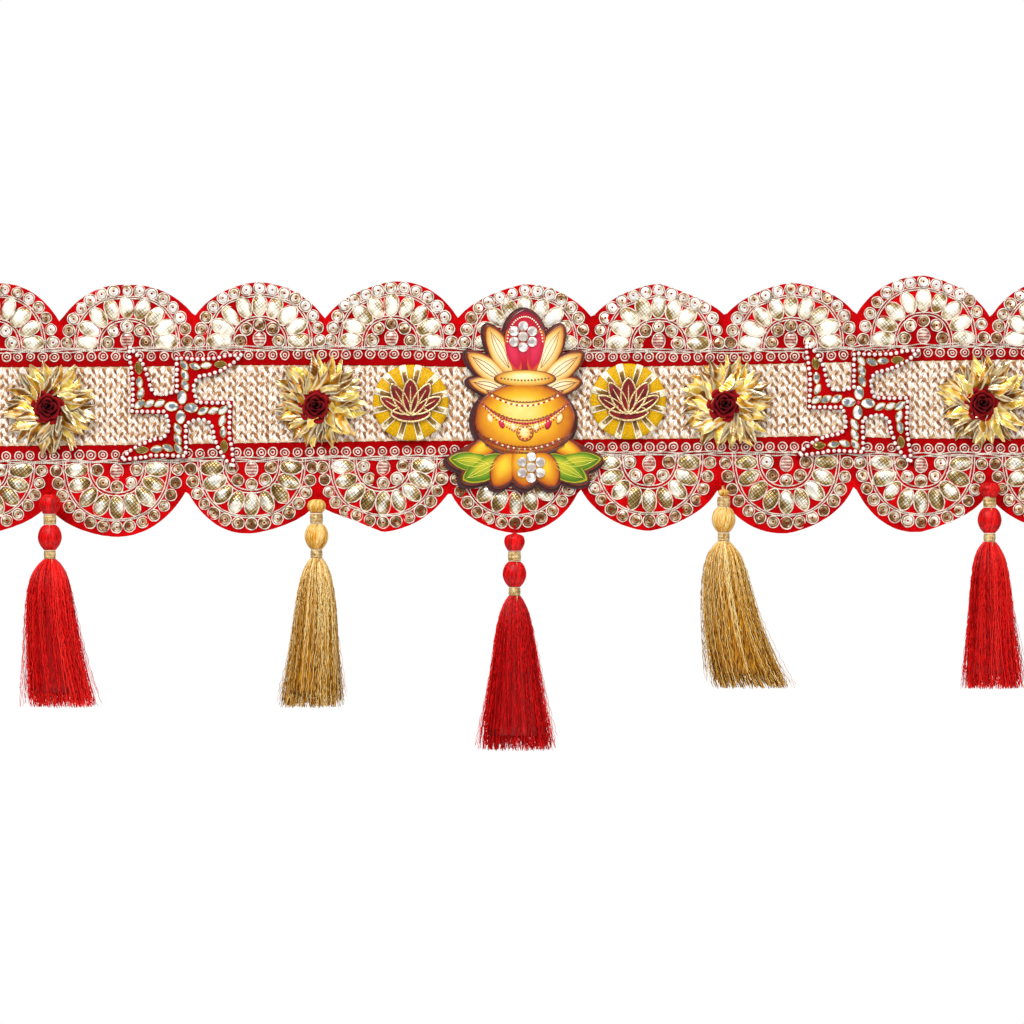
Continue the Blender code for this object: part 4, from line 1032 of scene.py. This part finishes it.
def pearl_shape():
    angles = [math.pi * i / 8 for i in range(1, 8)]
    rows = [(math.sin(angle), -PEARL_RADIUS * math.cos(angle)) for angle in angles]
    return stacked(circle(PEARL_RADIUS, 12), rows, PEARL_RADIUS, -PEARL_RADIUS)


def pearl_places(x, z, chance):
    """Pearls along the closed path round the four arms."""
    path = [quarter(across / 1000, up / 1000, turns) for turns in range(4) for across, up in PEARL_PATH]
    spots, carry = [], 0.0
    for (x1, z1), (x2, z2) in zip(path, path[1:] + path[:1]):
        length, reach = math.hypot(x2 - x1, z2 - z1), carry
        while reach < length:
            spots.append((x + x1 + (x2 - x1) * reach / length, z + z1 + (z2 - z1) * reach / length))
            reach += PEARL_PITCH
        carry = reach - length
    return [(Vector((px + chance.uniform(-0.0003, 0.0003), TRIM_BACK - 0.0029, pz + chance.uniform(-0.0003, 0.0003))),
             (chance.uniform(0, 3), chance.uniform(0, 3), 0.0), chance.uniform(0.94, 1.04), chance.random())
            for px, pz in spots]


def stone_places(x, z, chance):
    """Long stones along the arms, and four drops about the middle."""
    long_stones, drops = [], []
    y = TRIM_BACK - 0.0013
    for turns in range(4):
        back = turns * math.pi / 2
        for across, up, direction, gold in ARM_STONES:
            a, u = quarter(across / 1000, up / 1000, -turns)
            angle = math.radians(direction) - back
            long_stones.append((Vector((x + a, y, z + u)), facing(angle + chance.uniform(-0.08, 0.08), chance, 0.12),
                                chance.uniform(0.95, 1.05), gold))
        a, u = quarter(0.0006, 0.0083, -turns)
        drops.append((Vector((x + a, y, z + u)), facing(math.pi / 2 - back, chance, 0.05), 1.0, 0.1))
    return long_stones, drops


def set_stones(name, shape, outline, radius, stones, finish, *replaced):
    """Cut stones in their places, each in a gold setting."""
    hand_over(repeat_shape(f"{name}_stones", shape, stones, finish, smooth_angle=15), "clear_stone", *replaced)
    loop = tube_loop(outline, radius, 5, -0.0004)
    hand_over(repeat_shape(f"{name}_stone_settings", loop, stones, "gold_setting"), "gold_foil")


# Wound discs and badges.

def wound_disc(side, x, z):
    """Silk wound over a padded ring: 150 threads, each a ridge that runs in to the middle."""
    rings = []
    for radius, y in DISC_PROFILE:
        ring = []
        for angle, cos, sin in round_points(600):
            ridge = 0.00022 * abs(math.sin(150 * angle / 2 + 0.35 * math.sin(7 * angle)))
            reach = radius + ridge * (radius > DISC_RIM)
            ring.append((x + reach * cos, y - ridge * (y < TRIM_BACK), z + reach * sin))
        rings.append(ring)
    silk = add_body(f"wound_disc_{side}_silk", lofted(rings, None, (x, -0.0080, z)), "yellow_wound_silk")
    hand_over(silk, "yellow_thread", f"wound_disc_{side}")


def disc_strips(side, x, z, chance):
    """Strips of ribbon laid over the winding like spokes, a little wider at the rim."""
    parts, profile = [], DISC_PROFILE[1:]
    for number in range(STRIP_COUNT):
        middle = FULL_TURN * (number + 0.5 + chance.uniform(-0.12, 0.12)) / STRIP_COUNT
        points, across, out = [], [], []
        for top, bulge in ((0.0006, 0.0002), (0.0003, 0.0)):
            for radius, y in profile:
                for t in (-1.0, -0.5, 0.0, 0.5, 1.0):
                    angle = middle + t * (0.0016 + 0.0013 * radius / 0.032) / radius
                    lift = top + bulge * (1 - t * t)
                    reach = radius + lift * (radius > DISC_RIM)
                    points.append((x + reach * math.cos(angle), y - lift, z + reach * math.sin(angle)))
                    across.append(abs(t))
                    out.append((radius - 0.007) / 0.025)
        half = len(points) // 2
        parts.append(thick_sheet(points[:half], len(profile), 5, back=points[half:], across=across, out=out))
    hand_over(add_body(f"wound_disc_{side}_strips", joined(parts), "edged_strip", 40), "gold_foil")


def lotus_badge(side, x, z):
    """A moulded lotus: low overlapping petals, each with a raised line along its rim and its middle."""
    parts, loops = [], []
    for number, (px, pz, half_long, half_wide, tilt) in enumerate(BADGE_PETALS):
        middle = (x + px, z + pz)
        top = BADGE_BACK - BADGE_THICKNESS - 0.00025 * number
        rows = [(1.0, BADGE_BACK), (1.0, BADGE_BACK + 0.7 * (top - BADGE_BACK)), (0.94, top), (0.5, top - 0.00028)]
        parts.append(stacked(oval(half_long, half_wide, 36, 0.30, tilt, middle), rows, top - 0.0004, middle=middle))
        inner = oval(half_long - 0.0014, half_wide - 0.0013, 36, 0.30, tilt, middle)
        loops.append(([Vector((a, top - 0.0002, b)) for a, b in inner], 0.00085, 0.5, True))
        cos, sin = math.cos(math.radians(tilt)), math.sin(math.radians(tilt))
        vein = [Vector((middle[0] + s * cos, top - 0.0006, middle[1] + s * sin))
                for s in (-0.35 * half_long, 0.0, 0.55 * half_long)]
        loops.append((vein, [0.0006, 0.0007, 0.0003], 0.5, False))
    plate = add_body(f"lotus_badge_{side}_plate", joined(parts), "maroon_resin", 40)
    hand_over(plate, "maroon_plate", f"lotus_badge_{side}")
    hand_over(run_cords(f"lotus_badge_{side}_wire", loops, "gold_relief", 6), "gold_thread")


def build_ornaments():
    for number, (x, z, rose_x, rose_z) in enumerate(ROSETTES, start=1):
        chance = random.Random(20 + number)
        rosette(number, x, z, rose_x, rose_z, chance)
        rose(number, rose_x, rose_z, chance)
    pearls, stones, drops, beads = [], [], [], []
    for side, x, z in FELT_CENTRES:
        chance = random.Random(30 + len(pearls))
        felt, area = felt_motif(side, x, z)
        hand_over(felt, "red_felt", f"felt_motif_{side}")
        pearls += pearl_places(x, z, chance)
        long_stones, four = stone_places(x, z, chance)
        stones += long_stones
        drops += four
        beads.append((Vector((x, TRIM_BACK - 0.0034, z)), (0.0, 0.0, 0.0), 1.0, 0.5))
    hand_over(repeat_shape("pearls", pearl_shape(), pearls, "white_pearl"), "clear_stone")
    hand_over(repeat_shape("centre_beads", pearl_shape(), beads, "red_glass_bead"), "clear_stone")
    set_stones("long", cut_stone(0.0047, 0.0023, 0.6, 0.0017), oval(0.0051, 0.0028, 18, 0.6), 0.00042, stones,
               "foil_backed_stone")
    set_stones("drop", cut_stone(0.0056, 0.0036, 0.25, 0.0019), oval(0.0059, 0.0039, 20, 0.25), 0.0004, drops,
               "foil_backed_stone")
    for side, x, z in DISC_CENTRES:
        wound_disc(side, x, z)
        disc_strips(side, x, z, random.Random(40 + len(side)))
        lotus_badge(side, x, z)


# Plaque: a water pot with leaves and a bud, on a lotus seat. Layers of print, from the back one to the front one.
# Columns: name of the finish, centre x, z, half length, half width, tilt, how pointed the ends are.

def mirrored(*rows):
    """Each row after its mirror image, which is the left one."""
    return [(finish, way * x, z, long, wide, tilt if way > 0 else 180 - tilt, point)
            for finish, x, z, long, wide, tilt, point in rows for way in (-1, 1)]


PLAQUE_CENTRE = (0.0004, -0.0978)
PLAQUE_HUB = (0.0, -0.0150)
PRINT_Y, PRINT_STEP, LEAF_LINE_Y, PRINT_LINE_Y, DOT_Y, STONE_Y = -0.00902, 0.00004, -0.0096, -0.0102, -0.0101, -0.0100
PLAQUE_LEAVES = mirrored(
    ("leaf_green", 0.0430, -0.0540, 0.0235, 0.0095, 8, 0.45),
    ("leaf_green", 0.0330, -0.0590, 0.0240, 0.0110, -27, 0.45),
    ("leaf_cream", 0.0290, 0.0100, 0.0200, 0.0080, 15, 0.45), ("leaf_cream", 0.0300, 0.0240, 0.0250, 0.0100, 38, 0.45),
    ("leaf_cream", 0.0200, 0.0390, 0.0270, 0.0105, 63, 0.45),
)
PLAQUE_SHAPES = [
    *PLAQUE_LEAVES,
    ("bud_red", 0.0000, 0.0480, 0.0285, 0.0190, 90, 0.25),
    *mirrored(("bud_side", 0.0095, 0.0400, 0.0215, 0.0082, 77, 0.40),
              ("petal_orange", 0.0170, -0.0590, 0.0190, 0.0120, -60, 0.35)),
    ("petal_orange", 0.0000, -0.0560, 0.0204, 0.0150, 90, 0.35),
    ("pot_yellow", 0.0000, -0.0180, 0.0440, 0.0330, 0, 0.0),
    ("rim_cream", 0.0000, 0.0170, 0.0270, 0.0080, 0, 0.0),
]
PLAQUE_FILLERS = mirrored(("petal_orange", 0.0350, -0.0420, 0.0180, 0.0080, -28, 0.35))
PLAQUE_ORNAMENTS = [
    ("leaf_cream" if step % 2 else "bud_red", 0.0098 * step, -0.0248 + 0.0009 * step * step, 0.0058, 0.0034,
     90 - 7 * step, 0.3) for step in (-3, -2, -1, 1, 2, 3)
] + [("rim_cream", 0.0, -0.0290, 0.0078, 0.0078, 0, 0.0)]
DOTTED_ARCS = [
    # half width, top, sag, count, size of a dot, tones in turn
    (0.0300, 0.0040, 0.0100, 27, 1.0, (0.0, 0.5)), (0.0360, -0.0040, 0.0170, 33, 1.25, (0.0,)),
    (0.0345, -0.0063, 0.0187, 33, 0.8, (0.5,)), (0.0330, -0.0086, 0.0200, 31, 0.8, (0.0,)),
    (0.0285, -0.0345, 0.0085, 25, 1.0, (0.5, 0.0)), (0.0255, -0.0370, 0.0085, 23, 0.9, (0.0, 0.0, 1.0)),
    (0.0200, 0.0175, 0.0020, 15, 0.9, (0.0, 1.0)),
]
PRINTED_ARCS = [
    # half width, top, sag, tone
    (0.0330, 0.0068, 0.0102, 0.0), (0.0404, -0.0010, 0.0178, 0.0), (0.0395, -0.0300, 0.0112, 0.0),
    (0.0385, -0.0322, 0.0112, 0.3), (0.0340, -0.0395, 0.0068, 0.0),
]


def plaque_details():
    """Painted dots and lines. Dots: x, z, size, tone (0 red, 0.5 cream, 1 green). Lines: points, tone and Y."""
    dots, lines = [], []
    for half, top, sag, count, size, tones in DOTTED_ARCS:
        for i in range(count):
            t = 2 * i / (count - 1) - 1
            dots.append((half * t, top - sag * (1 - t * t), size, tones[i % len(tones)]))
    for _, cos, sin in round_points(10):
        dots += [(radius * cos, -0.0290 + radius * sin, size, tone)
                 for radius, size, tone in ((0.0052, 1.2, 0.0), (0.0024, 0.8, 0.5))]
    for angle in (math.pi * (0.02 + 0.96 * i / 25) for i in range(26)):
        dots.append((0.0150 * math.cos(angle), 0.0470 + 0.0225 * math.sin(angle), 0.7, 0.5))
    for finish, px, pz, half_long, _, tilt, _ in PLAQUE_LEAVES:
        across, up = math.cos(math.radians(tilt)), math.sin(math.radians(tilt))
        for spread in (-0.0035, 0.0, 0.0035):
            line = []
            for share in (step / 6 for step in range(7)):
                reach = half_long * (-0.55 + 1.35 * share * (1 - 12 * abs(spread)))
                bend = spread * math.sin(math.pi * share)
                line.append((px + reach * across - bend * up, pz + reach * up + bend * across))
            lines.append((line, 1.0 if finish == "leaf_green" else 0.0, LEAF_LINE_Y))
    for half, top, sag, tone in PRINTED_ARCS:
        for fold in (0.0, 0.0011):
            line = [(half * t, top - sag * (1 - t * t) + fold * (step % 2))
                    for step, t in enumerate(k / 24 - 1 for k in range(49))]
            lines.append((line, tone, PRINT_LINE_Y))
    return dots, lines


def oval_reach(angle, centre_x, centre_z, half_long, half_wide, tilt):
    """How far an oval reaches from the plaque's hub at an angle."""
    tilt = math.radians(tilt)
    dx, dz = PLAQUE_HUB[0] - centre_x, PLAQUE_HUB[1] - centre_z
    sx, sz = dx * math.cos(tilt) + dz * math.sin(tilt), -dx * math.sin(tilt) + dz * math.cos(tilt)
    wx, wz = math.cos(angle - tilt), math.sin(angle - tilt)
    a = (wx / half_long) ** 2 + (wz / half_wide) ** 2
    b = 2 * (sx * wx / half_long**2 + sz * wz / half_wide**2)
    c = (sx / half_long) ** 2 + (sz / half_wide) ** 2 - 1
    inside = b * b - 4 * a * c
    return max(0.0, (-b + math.sqrt(inside)) / (2 * a)) if inside > 0 else 0.0


def plaque_plate(name, margin, shift, back, front, finish):
    """A plate with bevelled rims, cut round the plaque's shapes with a margin, and seated off the middle by shift."""
    hub, bevel = (PLAQUE_CENTRE[0] + PLAQUE_HUB[0], PLAQUE_CENTRE[1] + PLAQUE_HUB[1]), 0.0003
    outline = []
    for angle, cos, sin in round_points(320):
        reach = max(oval_reach(angle, *row[1:6]) for row in PLAQUE_SHAPES) + margin
        outline.append((hub[0] + shift[0] + reach * cos, hub[1] + shift[1] + reach * sin))
    rings = []
    for y, inset in ((back, bevel), (back - bevel, 0.0), (front + bevel, 0.0), (front, bevel)):
        keep = [1 - inset / math.hypot(x - hub[0], z - hub[1]) for x, z in outline]
        rings.append([(hub[0] + (x - hub[0]) * k, y, hub[1] + (z - hub[1]) * k) for (x, z), k in zip(outline, keep)])
    return add_body(name, lofted(rings), finish, 35)


def printed_shape(outline, middle, y, light):
    """A printed shape as a very low body. "inward" runs from 0 at its rim to 1 in its lit middle."""
    height = 0.00025
    rows = [(1.0, 0.0), (0.94, 0.12), (0.86, 0.3), (0.62, 0.6), (0.32, 0.86)]
    heights = [(1.0, y + 0.0002)] + [(share, y - height * (1 - share**3)) for share, _ in rows]
    inward = [value for _, value in [(1.0, 0.0), *rows] for _ in outline] + [1.0]
    return (*stacked(outline, heights, y - height, middle=middle, light=light), {"inward": inward})


def build_plaque():
    board = plaque_plate("plaque_board_wood", 0.0022, (-0.0014, -0.0012), -0.0044, -0.0074, "maroon_board")
    hand_over(board, "dark_board", "plaque_board")
    sheet = plaque_plate("plaque_print_card", 0.0, (0.0, 0.0), -0.0077, -0.0090, "print_ground")
    hand_over(sheet, "printed_sheet", "plaque_print")
    by_finish = {}
    for number, (finish, px, pz, half_long, half_wide, tilt, point) in enumerate(
            PLAQUE_FILLERS + PLAQUE_SHAPES + PLAQUE_ORNAMENTS):
        middle = (PLAQUE_CENTRE[0] + px, PLAQUE_CENTRE[1] + pz)
        outline = oval(half_long - 0.0005, half_wide - 0.0005, 64, point, tilt, middle)
        light = (-0.15 * half_wide, 0.30 * half_wide)
        by_finish.setdefault(finish, []).append(printed_shape(outline, middle, PRINT_Y - PRINT_STEP * number, light))
    for finish, parts in by_finish.items():
        hand_over(add_body(f"plaque_{finish}", joined(parts), finish), "printed_sheet")
    cx, cz = PLAQUE_CENTRE
    dots, lines = plaque_details()
    places = [(Vector((cx + px, DOT_Y, cz + pz)), (0.0, 0.0, 0.0), size, tone) for px, pz, size, tone in dots]
    hand_over(repeat_shape("plaque_dots", domed(circle(0.0010, 8), 0.0003), places, "print_dots"), "printed_sheet")
    paths = [([Vector((cx + px, y, cz + pz)) for px, pz in line], [0.0002] + [0.0003] * (len(line) - 2) + [0.0001],
              tone, False) for line, tone, y in lines]
    hand_over(run_cords("plaque_lines", paths, "print_lines", 4), "printed_sheet")
    stones, chance = [], random.Random(50)
    for x, z in STONE_FLOWERS:
        stones.append((Vector((x, STONE_Y - 0.0004, z)), facing(0, chance, 0.05), 1.0, 0.8))
        for angle in (FULL_TURN * i / 6 + 0.52 for i in range(6)):
            spot = Vector((x + STONE_REACH * math.cos(angle), STONE_Y, z + STONE_REACH * math.sin(angle)))
            stones.append((spot, facing(angle, chance, 0.12), 1.0, chance.random() * 0.3))
    set_stones("round", cut_stone(0.0041, 0.0041, 0.0, 0.0026, 18), circle(0.0040, 20), 0.00035, stones,
               "clear_round_stone", "stone_flower_upper", "stone_flower_lower")


# Tassels.

def turned(profile, sides, groove=None):
    """A shape about a line that may lean. Columns: z, radius, middle x, middle y. groove gives depth by ring, angle."""
    rings = []
    for index, (z, radius, mx, my) in enumerate(profile):
        ring = []
        for angle, cos, sin in round_points(sides):
            reach = radius + (groove(index / (len(profile) - 1), angle) if groove else 0.0)
            ring.append((mx + reach * cos, my + reach * sin, z))
        rings.append(ring)
    return lofted(rings)


def smooth_profile(rows, steps):
    """More rings between the rows of a profile, on a smooth curve."""
    padded = [rows[0], *rows, rows[-1]]
    out = []
    for around in zip(padded, padded[1:], padded[2:], padded[3:]):
        for t in (step / steps for step in range(steps)):
            out.append(tuple(0.5 * (2 * b + (c - a) * t + (2 * a - 5 * b + 4 * c - d) * t**2
                                    + (3 * b - a - 3 * c + d) * t**3) for a, b, c, d in zip(*around)))
    return out + [rows[-1]]


def silk_ball(name, rows, finish, chance, painted_top_light):
    """Floss drawn over a core: fine leaning ridges, each of its own shade. The last argument lightens all but the
    lowest part, as painted light from above.
    """
    threads, twist = 52, 0.6
    start = chance.uniform(0, 6)
    shades = [chance.uniform(0.05, 0.42) for _ in range(threads)]
    tones = []

    def groove(share, angle):
        place = threads * (angle + twist * share + 0.03 * math.sin(5 * angle + start))
        low = 1 / (1 + math.exp(14 * (0.62 - share)))
        tones.append(shades[int(place / FULL_TURN) % threads] + painted_top_light * (1 - low))
        return 0.00018 * (math.sin(place) - 1)

    return add_body(name, (*turned(smooth_profile(rows, 3), threads * 4, groove), {"tone": tones}), finish)


def wound_wrap(name, x, top, radius, height):
    """Gold thread wound tightly round, in turns 0.85 mm apart."""
    turns, ridge = round(height / 0.00085), 0.00016
    rows = []
    for share in (step / (turns * 4) for step in range(turns * 4 + 1)):
        waist = 0.94 + 0.06 * math.sin(math.pi * share)
        depth = ridge * abs(math.sin(math.pi * share * turns)) - ridge
        rows.append((top - share * height, waist * radius + depth, x, TASSEL_Y))
    return add_body(name, turned(rows, 28), "gold_wrap_thread")


def skirt_width(share, foot, swell):
    """Half the width and half the depth of a skirt, and how far its middle stands forward to clear the wall."""
    swollen = swell * (1 - math.exp(-share / SWELL_SHARE))
    width = WAIST_HALF_WIDTH + swollen + (foot - WAIST_HALF_WIDTH - swell) * share
    depth = width * (1 + (FOOT_DEPTH_RATIO - 1) * share)
    return width, depth, 0.75 * max(0.0, depth - WALL_ROOM)


def strand_path(x, top, skirt, u, v, end, chance, stray=0.0):
    """One crinkled thread from the waist to the foot, at u across and v front to back in the bundle."""
    lean, foot, swell, length = skirt
    phase, wave, pitch = chance.uniform(0, 6.28), chance.uniform(0.0002, 0.0007), chance.uniform(0.008, 0.014)
    drift_x, drift_y = chance.uniform(-1, 1) * 0.0046 + stray * math.copysign(1, u), chance.uniform(-1, 1) * 0.0016
    wander, bend = chance.uniform(0, 6.28), chance.uniform(2.5, 6.0)
    path = []
    for share in (end * step / STRAND_STEPS for step in range(STRAND_STEPS + 1)):
        width, depth, forward = skirt_width(share, foot, swell)
        swing = wave * min(1.0, 5 * share)
        turn = phase + FULL_TURN * share * length / pitch
        px = x + lean * share * share + u * width + drift_x * share**2 + swing * math.sin(turn)
        px += 0.0011 * math.sin(wander + bend * share) * min(1.0, 3 * share)
        py = TASSEL_Y - forward + v * depth + drift_y * share + 0.6 * swing * math.cos(1.3 * turn)
        path.append(Vector((px, min(-0.0008, py), top - share * length)))
    return path


def skirt_core(name, x, top, skirt, finish):
    """The dense middle of the bundle, which keeps light from showing through. It stops short of the foot."""
    lean, foot, swell, length = skirt
    rings = []
    for share in (0.90 * step / 14 for step in range(15)):
        width, depth, forward = skirt_width(share, foot, swell)
        ring = []
        for angle, cos, sin in round_points(60):
            rough = CORE_SHARE * (1 + 0.05 * math.sin(15 * angle + 2 * share) * min(1, 3 * share))
            ring.append((x + lean * share * share + width * rough * cos,
                         min(-0.001, TASSEL_Y - forward + depth * rough * sin), top - share * length))
        rings.append(ring)
    points, faces = lofted(rings)
    return add_body(name, (points, faces, {"along": [0.02] * len(points)}), finish)


def tassel(row, chance):
    name, yarn, x, top, radius, height, stem, lean, foot, swell, length = row
    # Gold knobs and balls are lighter above their lowest part, as painted light from above.
    silk, painted_top_light = f"{yarn}_silk", 0.16 if yarn == "gold" else 0.0

    def piece(part, made, slot, *replaced):
        hand_over(made(f"tassel_{name}_{part}"), slot, *(f"tassel_{name}_{node}" for node in replaced))

    knob_y = TASSEL_Y if stem else BORDER_FRONT - 0.0004 - radius
    if stem:
        sewn_y = BORDER_FRONT - (0.0006 if radius > NECK_RADIUS else 0.0) - 0.0015
        rows = [(top + stem, 0.0011, x, sewn_y), (top + 0.5 * stem, 0.0011, x, sewn_y),
                (top, 0.0015, x, 0.5 * (sewn_y + TASSEL_Y))]
    else:
        rows = [(top, 0.45 * radius, x, knob_y)]
    rows += [(top - down * height, wide * radius, x, knob_y)
             for down, wide in ((0.14, 0.80), (0.42, 1.00), (0.70, 0.92))]
    rows.append((top - height, min(0.62 * radius, NECK_RADIUS), x, knob_y))
    piece("knob_silk", lambda title: silk_ball(title, rows, f"{yarn}_floss", chance, painted_top_light), silk, "knob")
    neck = top - height - PIECE_GAP
    ball = neck - NECK_HEIGHT - PIECE_GAP
    waist = ball - BALL_HEIGHT - PIECE_GAP
    z = waist - WAIST_HEIGHT - PIECE_GAP
    piece("neck_thread", lambda title: wound_wrap(title, x, neck, NECK_RADIUS, NECK_HEIGHT), "gold_thread", "neck")
    ball_rows = [(ball - down * BALL_HEIGHT, wide * BALL_RADIUS, x, TASSEL_Y) for down, wide in
                 ((0.0, 0.50), (0.12, 0.78), (0.35, 0.98), (0.58, 1.0), (0.82, 0.80), (1.0, 0.48))]
    piece("ball_silk", lambda title: silk_ball(title, ball_rows, f"{yarn}_floss", chance, painted_top_light), silk, "ball")
    piece("waist_thread", lambda title: wound_wrap(title, x, waist, WAIST_RADIUS, WAIST_HEIGHT), "gold_thread", "waist")
    piece("core", lambda title: skirt_core(title, x, z, (lean, foot, swell, length), f"{yarn}_floss"), silk)
    paths = []
    for _ in range(STRANDS):
        reach, angle = math.sqrt(chance.uniform(0.5, 1.0)), chance.uniform(0, FULL_TURN)
        end = 1.0 - 0.13 * chance.random() ** 1.4
        path = strand_path(x, z, (lean, foot * 0.93, swell, length), reach * math.cos(angle), reach * math.sin(angle),
                           end, chance)
        shade = chance.random() * (0.4 if name == "three" else 1.0)
        paths.append((path, chance.uniform(0.00021, 0.00036), shade, False))
    for _ in range(STRAYS):
        u, v = chance.choice((-1, 1)) * chance.uniform(0.85, 1.0), chance.uniform(-0.4, 0.4)
        end, stray = chance.uniform(0.86, 1.0), chance.uniform(0.001, 0.0075)
        path = strand_path(x, z, (lean, foot * 0.97, swell, length), u, v, end, chance, stray)
        paths.append((path, 0.00019, chance.random(), False))
    piece("strands", lambda title: run_cords(title, paths, f"{yarn}_floss", 3), silk, "skirt")
    tails = []
    for start_z, side in ((z + WAIST_HEIGHT * 0.4, 0.5), (z + WAIST_HEIGHT + BALL_HEIGHT + NECK_HEIGHT * 0.4, 0.2)):
        lean_x = chance.uniform(-0.4, 0.6)
        path = [Vector((x + side * 0.005 + lean_x * 0.001 * k, TASSEL_Y - 0.0052 - 0.0012 * k + 0.00016 * k * k,
                        start_z - 0.0016 * k)) for k in range(6)]
        tails.append((path, [0.0004, 0.0004, 0.00035, 0.0003, 0.0003, 0.0002], 0.6, False))
    piece("tails", lambda title: run_cords(title, tails, "gold_wrap_thread", 4), "gold_thread")


# The studio and the camera.

def build_stage():
    paint = bpy.data.materials.new("pale_floor")
    paint.use_nodes = True
    shader = paint.node_tree.nodes["Principled BSDF"]
    shader.inputs["Base Color"].default_value = srgb("#F4F4F4")
    shader.inputs["Roughness"].default_value = 0.7
    mesh = new_mesh("studio_floor", [(-1.7, -1.9, -0.9), (1.7, -1.9, -0.9), (1.7, 1.5, -0.9), (-1.7, 1.5, -0.9)],
                    [(0, 1, 2, 3)])
    mesh.materials.append(paint)
    add_object("studio_floor", mesh)
    world = bpy.context.scene.world = bpy.data.worlds.new("studio")
    world.use_nodes = True
    tree = world.node_tree
    way = add_node(tree, "ShaderNodeSeparateXYZ", {0: add_node(tree, "ShaderNodeTexCoord", out="Generated")}, None)
    height = add_node(tree, "ShaderNodeMath", {0: way["Z"], 1: 0.5, 2: 0.5}, operation="MULTIPLY_ADD")
    room = add_node(tree, "ShaderNodeValToRGB", {0: height}, stops=[
        (0.0, "#6E6A66"), (0.45, "#7A7A7A"), (0.62, "#909090"), (0.85, "#FFFFFF")])
    wall = add_node(tree, "ShaderNodeMath", {0: way["Y"], 1: 0.75}, operation="GREATER_THAN")
    light = add_node(tree, "ShaderNodeMix", {"Factor": wall, 6: room, 7: "#FFFFFF"}, 2, data_type="RGBA")
    tree.links.new(light, tree.nodes["Background"].inputs["Color"])
    for name, place, size, power, colour in (
        ("key", (-0.7, -1.5, 1.5), 0.9, 44.0, (1.0, 0.985, 0.96)),
        ("fill", (1.5, -1.9, 0.5), 1.0, 13.0, (1.0, 0.99, 0.98)),
    ):
        light = bpy.data.lights.new(name, "AREA")
        light.size, light.energy, light.color = size, power, colour
        lamp = add_object(name, light)
        lamp.location = place
        lamp.rotation_euler = (Vector((0.0, 0.0, -0.15)) - Vector(place)).to_track_quat("-Z", "Y").to_euler()


def build_camera():
    """Level, square on, and framed as the photo is: 0.8704 m across at 3 m."""
    data = bpy.data.cameras.new("camera")
    data.sensor_width, data.lens = 36, 36 * 3.0 / 0.8704
    camera = add_object("camera", data)
    camera.location = (-0.0106, -3.0, -0.1938)
    camera.rotation_euler = (math.pi / 2, 0.0, 0.0)
    bpy.context.scene.camera = camera


build_camera()
build_finishes()
build_borders()
build_band()
build_ornaments()
build_plaque()
for seed, row in enumerate(TASSELS):
    tassel(row, random.Random(60 + seed))
build_stage()
bpy.context.scene.view_settings.view_transform = "Standard"
